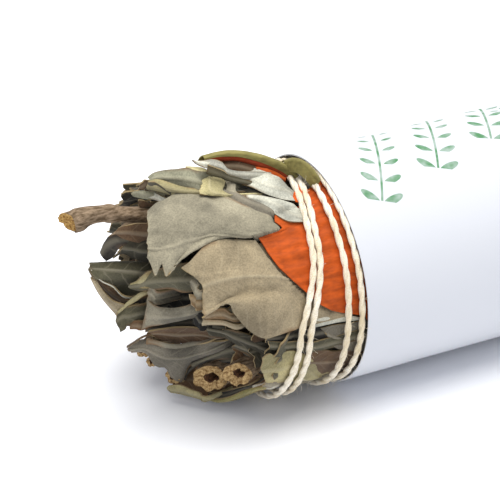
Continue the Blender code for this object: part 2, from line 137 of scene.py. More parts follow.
def sight(px, py):
    """Where the camera stands, from the axis, and the way that it looks through a pixel."""
    back = way_to_camera()
    right = (-back).cross(Vector((0, 0, 1))).normalized()
    up = right.cross(-back)
    middle = PHOTO_SIZE / 2
    way = -back + right * ((px - middle) / FOCUS) + up * ((middle - py) / FOCUS)
    return LOOKS_AT + back * CAMERA_DISTANCE, way.normalized()


def seen_along(px, py, along):
    """The place that a pixel shows, so many millimetres along the bundle."""
    eye, way = sight(px, py)
    return eye + way * ((along - eye.x) / way.x)


def seen_out(px, py, radius):
    """The place that a pixel shows, at a distance from the axis, on the side near the camera."""
    eye, way = sight(px, py)
    a = way.y ** 2 + way.z ** 2
    b = eye.y * way.y + eye.z * way.z
    nearest = math.sqrt(eye.y ** 2 + eye.z ** 2 - b * b / a)
    c = eye.y ** 2 + eye.z ** 2 - max(radius, nearest + 0.01) ** 2
    return eye + way * ((-b - math.sqrt(b * b - a * c)) / a)


def round_place(point):
    """A place as (along, angle round the axis, distance from it)."""
    angle = math.degrees(math.atan2(point.z, -point.y))
    return Vector((point.x, angle, math.hypot(point.y, point.z)))


print("The photo's middle at 20 mm from the axis:", seen_out(250, 250, 20.0))

# %% [markdown]
# ## Two small helpers for materials
# Colours are picked as the hex codes that screens use, and the renderer wants them linear.
# A material is a chain of nodes, so one function adds a node, sets it and links it. A Map Range
# node takes the range between its inputs 1 and 2 to the one between 3 and 4.

# %% Colour and node helpers


def linear(code):
    """An sRGB hex colour as the linear colour that shaders use."""
    parts = [int(code[i:i + 2], 16) / 255 for i in (1, 3, 5)]
    return tuple(p / 12.92 if p <= 0.04045 else ((p + 0.055) / 1.055) ** 2.4 for p in parts) + (1,)


def add_node(tree, kind, inputs, **settings):
    """Adds a node, with its settings, and fills its inputs by name or number. An input that is
    given a node is linked to that node's first output."""
    made = tree.nodes.new("ShaderNode" + kind)
    for name, value in settings.items():
        setattr(made, name, value)
    for socket, value in inputs.items():
        if isinstance(value, bpy.types.Node):
            value = value.outputs[0]
        if isinstance(value, bpy.types.NodeSocket):
            tree.links.new(value, made.inputs[socket])
        else:
            made.inputs[socket].default_value = value
    return made


def new_material(name, roughness, sheen=0.0):
    made = bpy.data.materials.new(name)
    made.use_nodes = True
    shader = made.node_tree.nodes["Principled BSDF"]
    shader.inputs["Roughness"].default_value = roughness
    shader.inputs["Specular IOR Level"].default_value = 0.25
    shader.inputs["Sheen Weight"].default_value = sheen
    shader.inputs["Sheen Roughness"].default_value = 0.5
    return made, made.node_tree, shader


print("White is", linear("#FFFFFF"))

# %% [markdown]
# ## Dried sage leaf
# White sage is covered in down so short that it looks like dust: it hides the green and gives a
# soft, pale, matt face that brightens at grazing angles, which is what sheen does. Under the
# down is a net of fine veins, a thick midrib, and side veins that leave it at a slant.
# The pattern has to follow each leaf, so every sheet carries its own place attribute: distance
# along the midrib, distance from it, and distance from the margin, all in metres.
# The leaf's back shows its veins more, so it has a second material. Where a leaf is broken its
# thin edge is straw brown, which is a third.

# %% Sage leaf materials
VEIN_SPACING = 3.4
VEIN_WIDTH = 0.30
VEIN_WANDER = 2.2
WANDER_SCALE = 320.0
BLOTCH_SCALE = 130.0
RUSTY_MARGIN = 0.7
MIDRIB_WIDTH = 0.6
NET_CELL = 1.1
DOWN_GRAIN = 0.30


def leaf_material(name, vein_strength, relief, sheen):
    made, tree, shader = new_material(name, 0.86, sheen)
    tint = add_node(tree, "Attribute", {}, attribute_name="tint")
    place = add_node(tree, "Attribute", {}, attribute_name="leaf_place")
    world = add_node(tree, "TexCoord", {}).outputs["Object"]
    drift = add_node(tree, "TexNoise", {"Vector": world, "Scale": WANDER_SCALE, "Detail": 3.0})
    apart = add_node(tree, "SeparateXYZ", {0: place.outputs["Vector"]})
    along, across, from_margin = apart.outputs
    aside = add_node(tree, "Math", {0: across}, operation="ABSOLUTE")
    slant = add_node(tree, "Math", {0: aside, 1: -1.0, 2: along}, operation="MULTIPLY_ADD")
    wander = add_node(tree, "Math", {0: drift, 1: VEIN_WANDER * MM, 2: slant}, operation="MULTIPLY_ADD")
    to_vein = add_node(tree, "Math", {0: wander, 1: VEIN_SPACING * MM / 2}, operation="PINGPONG")
    side_vein = add_node(tree, "MapRange", {0: to_vein, 1: 0.0, 2: VEIN_WIDTH * MM, 3: 0.5, 4: 0.0})
    rib = add_node(tree, "MapRange", {0: aside, 1: 0.1 * MM, 2: MIDRIB_WIDTH * MM, 3: 1.0, 4: 0.0})
    veins = add_node(tree, "Math", {0: side_vein, 1: rib}, operation="MAXIMUM")
    net = add_node(
        tree, "TexVoronoi", {"Vector": world, "Scale": 1 / (NET_CELL * MM), "Smoothness": 0.6},
        feature="SMOOTH_F1",
    )
    down = add_node(tree, "TexNoise", {"Vector": world, "Scale": 1 / (DOWN_GRAIN * MM), "Detail": 2.0})
    blotch = add_node(tree, "TexNoise", {"Vector": world, "Scale": BLOTCH_SCALE, "Detail": 4.0})
    shade = add_node(tree, "MapRange", {0: blotch, 1: 0.36, 2: 0.64, 3: 0.60, 4: 1.24})
    grain = add_node(tree, "MapRange", {0: down, 1: 0.3, 2: 0.7, 3: 0.80, 4: 1.20})
    level = add_node(tree, "Math", {0: shade, 1: grain}, operation="MULTIPLY")
    blade = add_node(
        tree, "VectorMath", {0: tint.outputs["Color"], "Scale": level}, operation="SCALE"
    )
    share = add_node(tree, "Math", {0: veins, 1: vein_strength}, operation="MULTIPLY")
    veined = add_node(
        tree, "Mix", {0: share, 6: blade, 7: linear("#D8CDB0")}, data_type="RGBA"
    ).outputs[2]
    margin = add_node(
        tree, "MapRange", {0: from_margin, 1: 0.1 * MM, 2: RUSTY_MARGIN * MM, 3: 0.75, 4: 0.0}
    )
    rust = add_node(tree, "MapRange", {0: blotch, 1: 0.50, 2: 0.66})
    brown = add_node(tree, "Math", {0: margin, 1: rust}, operation="MULTIPLY")
    edged = add_node(
        tree, "Mix", {0: brown, 6: veined, 7: linear("#6E4F30")}, data_type="RGBA"
    ).outputs[2]
    tree.links.new(edged, shader.inputs["Base Color"])
    valley = add_node(tree, "Math", {0: net, 1: -0.5}, operation="MULTIPLY")
    height = add_node(tree, "Math", {0: veins, 1: valley}, operation="ADD")
    rough = add_node(tree, "Math", {0: down, 1: height}, operation="ADD")
    bump = add_node(tree, "Bump", {"Strength": relief, "Distance": 0.10 * MM, "Height": rough})
    tree.links.new(bump.outputs[0], shader.inputs["Normal"])
    return made


leaf_face = leaf_material("downy_sage_leaf_face", 0.12, 0.35, 0.10)
leaf_back = leaf_material("veined_sage_leaf_back", 0.24, 0.55, 0.10)
leaf_edge, _, edge_shader = new_material("broken_sage_leaf_edge", 0.9, 0.05)
edge_shader.inputs["Base Color"].default_value = linear("#8C7A58")
print("Side veins every", VEIN_SPACING, "mm and a vein net of", NET_CELL, "mm")

# %% [markdown]
# ## How a leaf is laid
# A leaf in the bundle is a thin flat thing that dried in a bent place. It could be sculpted or
# simulated, but its margins have to lie where the photo shows them. So a leaf is a flat grid
# that is moved onto a few given lines, its rails, which run from its free end to where it
# disappears: one along each margin and one or more between. A smooth curve through the rails
# gives the bend across it. Then its margins are torn a little and its face is crinkled.

# %% Curves through given points


def share_of_way(points, polar):
    """For each point of a line, its share of the whole length."""
    total, shares = 0.0, [0.0]
    for a, b in zip(points, points[1:]):
        step = b - a
        if polar:
            step = Vector((step.x, math.radians(step.y) * (a.z + b.z) / 2, step.z))
        total += step.length
        shares.append(total)
    return [share / total for share in shares], total


def on_curve(points, shares, t):
    """A point on the Catmull-Rom curve through points, at a share t of its length."""
    t = min(max(t, 0.0), 1.0)
    i = 0
    while i < len(points) - 2 and shares[i + 1] < t:
        i += 1
    s = (t - shares[i]) / max(shares[i + 1] - shares[i], 1e-9)
    a, b = points[i], points[i + 1]
    before = points[i - 1] if i else a * 2 - b
    after = points[i + 2] if i + 2 < len(points) else b * 2 - a
    return (
        a + (b - before) * (0.5 * s)
        + (before * 2 - a * 5 + b * 4 - after) * (0.5 * s * s)
        + (a * 3 - before - b * 3 + after) * (0.5 * s**3)
    )


print("Halfway between two points:", on_curve([Vector((0, 0, 0)), Vector((2, 0, 0))], [0, 1], 0.5))

# %% [markdown]
# ## What holds the leaves in
# The string is pulled tight, so no leaf stands above it where it passes. In front of it the
# leaves spring out again. The table and the sleeve hold them in as well.

# %% Where leaves may reach
STRING_COIL = 21.2
STRING_RADIUS = 0.65
STRING_START = (-130, -13.0)
TURN_CROSSES = (-40, 0, 40, 90)
FRONT_TURNS = (
    (-14.5, -13.5, -8.5, -5.0),
    (-12.0, -11.5, -7.2, -3.6),
    (-4.0, -3.7, -2.8, -1.8),
    (-1.0, -0.8, -0.4, 0.4),
)


def on_route(route, angle):
    """How far along the bundle a list of (angle, along) lies at an angle."""
    for (a0, x0), (a1, x1) in zip(route, route[1:]):
        if a0 <= angle <= a1:
            return x0 + (x1 - x0) * (angle - a0) / (a1 - a0)
    return route[-1][1]


FIRST_TURN = [STRING_START, *zip(TURN_CROSSES, FRONT_TURNS[0]), (320, FRONT_TURNS[1][0])]


def string_front(angle):
    """How far along the bundle the foremost turn of string lies, at an angle round it."""
    return on_route(FIRST_TURN, (angle + 130) % 360 - 130)


# The large petal's front margin, from its foot on the near side to where it goes under the top.
PETAL_MARGIN = (
    (364, 315), (343, 313), (331, 310), (319, 304), (306, 293), (291, 280), (279, 269), (269, 257),
    (262, 245), (257, 238), (282, 231), (281, 228), (274, 223), (274, 216), (303, 206), (306, 196),
    (308, 190), (314, 184),
)
PETAL_ENDS = ((-3, 1.0), (90, -0.5))
PETAL_PRESSED = 20.15
UNDER_PETAL = 19.75
petal_places = [round_place(seen_out(*pixel, PETAL_PRESSED)) for pixel in PETAL_MARGIN]
PETAL_FRONT = sorted([(place.y, place.x) for place in petal_places] + list(PETAL_ENDS))


def front_of_petal(angle):
    """Where the large petal's front margin lies, at an angle round the bundle."""
    if PETAL_FRONT[0][0] <= angle <= PETAL_FRONT[-1][0]:
        return on_route(PETAL_FRONT, angle)
    return 8.0


UNDER_STRING = 20.4
RISE_AHEAD = 1.1
MOST_RISE = 12
LOOSE_REACH = 30
ABOVE_TABLE = 0.35
LAYER_GAP = 0.3


def pressed(point, layer, loose):
    """Keeps a point of a leaf under the string and above the table, and each layer apart. A
    loose leaf is only kept above the table."""
    radius = math.hypot(point.y, point.z)
    angle = math.degrees(math.atan2(point.z, -point.y))
    limit = UNDER_STRING - layer
    if layer >= 0 and point.x > front_of_petal(angle) - 0.5:
        limit = UNDER_PETAL - layer
    ahead = min(string_front(angle) - 1.0, front_of_petal(angle) - 0.5) - point.x
    if ahead > 0:
        limit = UNDER_STRING - layer + min(RISE_AHEAD * ahead, MOST_RISE)
    if loose:
        limit = LOOSE_REACH
    if radius > limit:
        point = Vector((point.x, point.y * limit / radius, point.z * limit / radius))
    point.z = max(point.z, ABOVE_TABLE + max(layer, 0) * LAYER_GAP - FLOOR_BELOW_AXIS)
    return point


print("Foremost string at the side and the top:", string_front(0), string_front(90))

# %% [markdown]
# ## One mesh of leaves for each stem
# Each leafy stem of the CAD model is dressed by one mesh that holds all its leaves. Two layers
# on its points say what colour the leaf has and which place on the leaf a point is.
# A leaf belongs to the stem in whose sector of the bundle it lies.

# %% The leaf meshes and the two ways to lay a leaf
# The near-black tint is painted shade, for sheets set in gaps and hollows where only shade shows.
TINTS = {
    "pale": "#938C77", "beige": "#93856A", "grey": "#756F5F", "green": "#4F4B38", "white": "#BFBEAF",
    "olive": "#89804A", "brown": "#5F4832", "dark": "#3E3A2D", "blue": "#888671", "gold": "#6E5A3E",
    "shade": "#34302A", "lilac": "#6C6659", "yellow": "#9B9168", "orange": "#BE5110", "deep": "#86300C",
    "painted_shade_black": "#1A1814", "straw": "#B3A97C",
}
LEAF_THICKNESS = 0.32
CRINKLE_WAVE = 4.5
FINE_CRINKLE_WAVE = 1.9
RIB_HALF_WIDTH = 0.45
RIB_HEIGHT = 0.22
leaves = {}


def leaf_mesh(name):
    if name not in leaves:
        leaves[name] = bmesh.new()
        leaves[name].verts.layers.float_vector.new("leaf_place")
        leaves[name].verts.layers.float_color.new("tint")
    return leaves[name]


def stem_of(point):
    """The CAD node whose room in the bundle holds a point."""
    if math.hypot(point.y, point.z) < 5.5:
        return "leafy_stem_1"
    angle = math.degrees(math.atan2(point.z, -point.y))
    return f"leafy_stem_{2 + int(((angle + 10) % 360) // 60)}"


def lay_sheet(mesh, where, along, across, length, width, tint, seed, torn, crinkle, midrib=0.5, hidden_end_shade=0.0):
    """Adds a grid, moves it by the function where(u, v), tears its margins and crinkles it.
    Midrib is the share of its width at which the midrib lies, and the last argument darkens its hidden end:
    painted shade."""
    verts = bmesh.ops.create_grid(mesh, x_segments=along, y_segments=across, size=1)["verts"]
    place_layer = mesh.verts.layers.float_vector["leaf_place"]
    tint_layer = mesh.verts.layers.float_color["tint"]
    colour = linear(TINTS[tint])
    draws = random.Random(seed)
    lift = draws.uniform(0.9, 1.1)
    for vert in verts:
        u, v = (vert.co.x + 1) / 2, (vert.co.y + 1) / 2
        tear = noise.noise(Vector((seed * 7.3, v * width / 2.2, 1.7)))
        tear += 0.5 * noise.noise(Vector((seed, v * width, 9)))
        bite = noise.noise(Vector((seed * 3.1, u * length / 3.0, 5 if v > 0.5 else 8)))
        u_torn = u + (1 - u) ** 4 * torn * max(0.3 + tear, 0) / length
        v_torn = 0.5 + (v - 0.5) * (1 - 0.7 * torn * max(bite, 0) / width)
        point = where(u_torn, v_torn)
        spot = Vector((u_torn * length, v_torn * width, seed * 5.0))
        wave = noise.noise(spot / CRINKLE_WAVE) + 0.45 * noise.noise(spot / FINE_CRINKLE_WAVE)
        hold = 1 - 0.75 * u
        rib = math.exp(-(((v_torn - midrib) * width / RIB_HALF_WIDTH) ** 2))
        away = where(u_torn + 0.01, v_torn) - point
        across_way = where(u_torn, v_torn + 0.01) - where(u_torn, v_torn - 0.01)
        facing = away.cross(across_way)
        if facing.length > 1e-9:
            rise = crinkle * hold * wave + RIB_HEIGHT * rib * (crinkle > 0)
            point = point + facing.normalized() * rise
        lowest = LEAF_THICKNESS / 2 + 0.02 - FLOOR_BELOW_AXIS
        vert.co = Vector((point.x, point.y, max(point.z, lowest)))
        margin = min(v * width, (1 - v) * width, u * length)
        vert[place_layer] = Vector((u * length, (v - midrib) * width, margin)) * MM
        # The hidden end is darkened: painted shade for the inside of the bunch.
        vert[tint_layer] = Vector(tuple(c * lift * (1 - hidden_end_shade * u**1.5) for c in colour[:3]) + (1,))
    return verts


def lay_rails(rails, tint, seed, polar=True, along=34, across=20, torn=0.9, crinkle=0.28, cup=0.0,
              layer=0.0, loose=False, mesh=None, midrib=0.5, hidden_end_shade=0.0):
    """A leaf on its rails. Each rail runs from the free end to the hidden end, and the first and
    last are its margins. Polar rails give (x, angle, radius) and the others (x, back, up)."""
    lines = [[Vector(point) for point in rail] for rail in rails]
    measured = [share_of_way(line, polar) for line in lines]
    length = sum(total for shares, total in measured) / len(lines)
    stations = [i / (len(lines) - 1) for i in range(len(lines))]

    def where(u, v):
        section = [on_curve(line, shares, u) for line, (shares, total) in zip(lines, measured)]
        point = on_curve(section, stations, v)
        if polar:
            point.z += cup * (2 * v - 1) ** 2 * (1 - u)
            point = flat(*point)
        return pressed(point, layer, loose)

    width = (where(0.4, 1) - where(0.4, 0.5)).length + (where(0.4, 0.5) - where(0.4, 0)).length
    owner = mesh or stem_of(where(0.3, 0.5))
    lay_sheet(
        leaf_mesh(owner), where, along, across, length, width, tint, seed, torn, crinkle, midrib, hidden_end_shade
    )


def lay_curl(spine, widths, bend, facing, tint, seed, along, across, torn, crinkle, twist=0.0):
    """A leaf that curls round its own length. Its spine gives (x, back, up) from the free end,
    bend is the radius of the curl and facing the way that its middle faces, in degrees."""
    line = [Vector(point) for point in spine]
    shares, length = share_of_way(line, False)
    sizes = [Vector((width, 0, 0)) for width in widths]
    size_shares = [i / (len(sizes) - 1) for i in range(len(sizes))]

    def where(u, v):
        centre = on_curve(line, shares, u)
        width = on_curve(sizes, size_shares, u).x
        turn = math.radians(facing + twist * (1 - u))
        out = Vector((0, -math.cos(turn), math.sin(turn)))
        side = Vector((0, math.sin(turn), math.cos(turn)))
        spread = (v - 0.5) * width / bend
        tighter = bend * (1 - 0.06 * max(abs(spread) - 2.4, 0))
        arc = side * (tighter * math.sin(spread)) + out * (tighter * math.cos(spread) - bend)
        return pressed(centre + arc, 0.0, False)

    mesh = leaf_mesh(stem_of(line[0]))
    lay_sheet(mesh, where, along, across, length, max(widths), tint, seed, torn, crinkle)


print("Leaf tints:", len(TINTS))

# %% [markdown]
# ## The leaves that the photo shows
# The big pale leaf on the near side, the folded one under it, the wavy ones along the top and
# the rolled ones at the cut end give the bunch its face, so each is given one by one. A rail's points
# are pixels of the photo with the distance from the axis that the leaf has there. The photo
# doesn't show where a leaf ends under the string, so each rail runs straight on to that place.

# %% Leaves on the near side
# Each leaf: tint, layer, crinkle, place of its midrib, where it ends along the bundle, rails.
NEAR_LEAVES = {
    # Its near end is cut square, and two small tips hang from the lower corner.
    "large_pale_leaf": ("pale", 0.0, 0.62, 0.33, -8, (
        ((148, 258, 22.5), (152, 268, 22.4), (155, 276, 22.3), (158, 268, 22.4), (161, 262, 22.5),
         (163, 268, 22.4), (166, 277, 22.3), (172, 269, 22.4), (180, 261, 22.4), (193, 251, 22.1),
         (206, 242, 21.9), (220, 238, 21.6), (250, 236, 21.1), (281, 236, 20.6)),
        ((147, 251, 23), (158, 254, 22.9), (172, 251, 22.8), (188, 246, 22.6), (206, 239, 22.3),
         (225, 236, 21.9), (250, 235, 21.4), (281, 236, 20.7)),
        ((147, 243, 23.4), (163, 239, 23.6), (180, 234, 23.5), (205, 231, 23.1), (230, 232, 22.4),
         (255, 235, 21.6), (281, 235, 20.8)),
        ((147, 228, 23.3), (163, 222, 23.6), (185, 217, 23.5), (210, 216, 23.1), (235, 220, 22.3),
         (260, 228, 21.4), (281, 233, 20.8)),
        ((147, 211, 23.2), (153, 206, 23.3), (160, 201, 23.4), (169, 197, 23.4), (178, 193, 23.3),
         (188, 191.5, 23.1), (202, 192, 22.8), (215, 195, 22.4), (230, 199, 22), (255, 210, 21.3),
         (273, 218, 21), (283, 230, 20.8)),
    )),
    # Its near end is torn straight down, its lower half is folded out in a broad lobe.
    "folded_beige_leaf": ("beige", 0.1, 0.5, 0.62, 2, (
        ((202, 318, 21.1), (208, 313, 21.1), (216, 307, 21.2), (228, 304, 21.5), (233, 313, 21.2),
         (241, 322, 20.9), (251, 332, 20.7), (264, 338, 20.6), (273, 336, 20.6), (287, 332, 20.5),
         (302, 327, 20.4), (317, 324, 20.2)),
        ((202, 314, 21.2), (214, 309, 21.4), (228, 303, 21.9), (240, 303, 22.1), (251, 304, 22.1),
         (270, 305, 21.7), (290, 306, 21), (317, 310, 20.3)),
        ((202, 309, 21.2), (216, 303, 21.1), (229, 298, 20.8), (245, 295, 20.6), (262, 292, 20.5),
         (285, 290, 20.4), (310, 292, 20.2)),
        ((202, 296, 21.4), (216, 293, 21.6), (232, 288, 21.6), (250, 284, 21.4), (275, 283, 20.9),
         (300, 285, 20.3)),
        ((201, 284, 21.6), (212, 279, 22), (228, 275, 22.1), (250, 273, 22), (275, 274, 21),
         (300, 275, 20.3)),
        ((190, 275, 21.9), (203, 270, 22), (225, 264, 21.9), (250, 262, 21.3), (270, 263, 20.8),
         (290, 266, 20.3)),
        ((181, 268, 22), (189, 262, 21.9), (197, 254, 21.7), (206, 245, 21.5), (220, 241, 21.3),
         (240, 240, 20.9), (262, 241, 20.5), (281, 245, 20.2)),
    )),
    "torn_scrap_at_its_end": ("grey", 0.1, 0.3, 0.5, -18, (
        ((189, 281, 20.6), (193, 291, 20.6), (201, 300, 20.6)),
        ((192, 279, 21), (199, 283, 21), (203, 290, 21)),
    )),
    "brown_scrap_below_it": ("gold", 0.1, 0.3, 0.5, -18, (
        ((190, 304, 20.4), (196, 308, 20.4), (203, 310, 20.4)),
        ((189, 294, 20.6), (195, 295, 20.6), (202, 298, 20.6)),
    )),
    "grey_strip_behind_the_pale_one": ("lilac", 0.35, 0.2, 0.5, -4, (
        ((205, 200, 21.6), (220, 203, 21.4), (240, 210, 21), (262, 219, 20.6), (280, 226, 20.3)),
        ((210, 193, 22.3), (222, 192, 22.3), (234, 195, 22.2), (243, 200, 22), (252, 204, 21.6),
         (262, 207, 21.3), (272, 213, 21), (280, 219, 20.6)),
        ((213, 191, 22), (226, 190, 22), (241, 195, 21.8), (251, 200, 21.5), (260, 201, 21.2),
         (272, 207, 20.9), (282, 213, 20.5)),
    )),
    "white_tongue": ("white", -0.25, 0.2, 0.5, -5, (
        ((246, 200, 20.9), (262, 206, 20.9), (275, 214, 20.8), (288, 221, 20.7), (303, 222, 20.6)),
        ((244, 197, 21.4), (262, 200, 21.6), (278, 206, 21.5), (292, 213, 21.2), (304, 218, 20.8)),
        ((243, 194, 21.2), (262, 196, 21.4), (280, 200, 21.3), (295, 205, 21.1), (304, 211, 20.8)),
    )),
    # A near-black sheet: painted shade in the gap under the wavy leaf.
    "painted_shade_under_the_wavy_leaf": ("painted_shade_black", 0.9, 0.1, 0.5, -2, (
        ((236, 196, 20.5), (262, 201, 20.3), (285, 207, 20.1), (303, 212, 20)),
        ((234, 182, 20.6), (262, 190, 20.4), (285, 198, 20.2), (303, 206, 20)),
    )),
    "white_wavy_leaf": ("white", -0.25, 0.34, 0.5, -4.5, (
        ((230, 175, 22.8), (241, 184, 21.9), (253, 188, 21.6), (266, 194, 21.2), (280, 199, 21),
         (293, 201, 20.9)),
        ((224, 168, 23.8), (240, 175, 22.9), (256, 181, 22.5), (270, 187, 22), (284, 191, 21.5),
         (295, 196, 21.1)),
        ((220, 161, 24.6), (236, 163, 24.2), (253, 168, 23.6), (270, 174, 22.8), (286, 181, 21.9),
         (297, 190, 21.2)),
    )),
    # The yellowish band comes over the top and bends down in front of the grey rolls.
    "yellow_band": ("straw", 0.0, 0.14, 0.5, -10, (
        ((187, 171, 24.3), (195, 179, 23.9), (201, 187, 23.6), (204, 195, 23.3)),
        ((186, 168, 24.5), (199, 172, 24.3), (209, 178, 23.9), (215, 194, 23.2)),
        ((186, 167, 24.4), (201, 168, 24.3), (217, 177, 23.7), (225, 182, 22.9), (225, 193, 22.4)),
    )),
    # Two narrow strips stand beside the band, edge on.
    "pale_strip_beside_the_band": ("pale", 0.1, 0.15, 0.5, -10, (
        ((224, 178, 22.9), (227, 186, 22.5), (230, 196, 22)),
        ((230, 174, 23.2), (235, 184, 22.6), (239, 194, 22)),
    )),
    # Leaves along the foot of the near side, by the string.
    "strip_by_the_string": ("green", 0.2, 0.15, 0.5, 2, (
        ((269, 349, 20.2), (283, 350, 20.1), (298, 349, 20), (316, 351, 19.8)),
        ((268, 341, 20.4), (283, 342, 20.3), (298, 341, 20.2), (316, 341, 20)),
    )),
    "shade_above_the_strip": ("painted_shade_black", 0.9, 0.1, 0.5, 2, (
        ((266, 343, 19.9), (290, 342, 19.8), (318, 340, 19.7)),
        ((264, 334, 20.1), (290, 330, 20), (318, 327, 19.9)),
    )),
    "pale_leaf_with_a_hole": ("yellow", 0.1, 0.18, 0.5, 0, (
        ((266, 382, 20.5), (276, 382, 20.4), (288, 381, 20.3), (303, 380, 20.2), (318, 378, 19.9)),
        ((261, 371, 20.7), (275, 369, 20.8), (290, 367, 20.7), (306, 369, 20.2), (322, 375, 19.9)),
        ((262, 358, 20.4), (269, 353, 20.4), (277, 356, 20.3), (285, 351, 20.3), (297, 351, 20.2),
         (312, 359, 20), (322, 372, 19.8)),
    )),
    "brown_leaf_behind_it": ("brown", 0.5, 0.3, 0.5, 6, (
        ((306, 376, 19.7), (325, 376, 19.6), (340, 374, 19.4)),
        ((308, 362, 19.9), (325, 361, 19.8), (340, 360, 19.6)),
        ((311, 350, 19.9), (325, 350, 19.8), (340, 350, 19.6)),
    )),
    "white_leaf_under_the_petal": ("white", 0.5, 0.18, 0.5, 4, (
        ((310, 329, 20.1), (322, 326, 20.1), (340, 322, 20), (364, 319, 20)),
        ((306, 312, 20.2), (320, 312, 20.2), (340, 314, 20.1), (364, 317, 20)),
    )),
    "grey_leaf_by_the_sleeve": ("lilac", 0.6, 0.24, 0.5, 6, (
        ((330, 341, 19.9), (336, 348, 19.8), (350, 350, 19.7), (364, 350, 19.6)),
        ((326, 334, 20), (338, 338, 20), (350, 338, 19.9), (364, 336, 19.8)),
        ((321, 329, 20.1), (335, 325, 20.1), (350, 323, 20), (364, 320, 19.9)),
    )),
    "foot_leaf_in_front": ("grey", 0.2, 0.3, 0.5, 0, (
        ((262, 386, 20.3), (280, 386, 20.2), (306, 384, 20)),
        ((266, 380, 20.3), (284, 380, 20.2), (306, 379, 20)),
    )),
}


def near_rails(rails, ends_at):
    """Rails as (along, angle, distance from the axis), with their hidden end."""
    made = []
    for rail in rails:
        places = [round_place(seen_out(*pixel)) for pixel in rail]
        last = places[-1]
        made.append(places + [Vector((max(ends_at, last.x + 2), last.y, min(last.z, 19.9)))])
    return made


def lay_near_leaves():
    for number, leaf in enumerate(NEAR_LEAVES.values()):
        tint, layer, crinkle, midrib, ends_at, rails = leaf
        large = len(rails) > 3
        lay_rails(
            near_rails(rails, ends_at), tint, 11 + number, layer=layer, crinkle=crinkle, midrib=midrib,
            along=64 if large else 30, across=44 if large else 18, torn=0.45
        )


lay_near_leaves()
print("Near leaves:", len(NEAR_LEAVES))
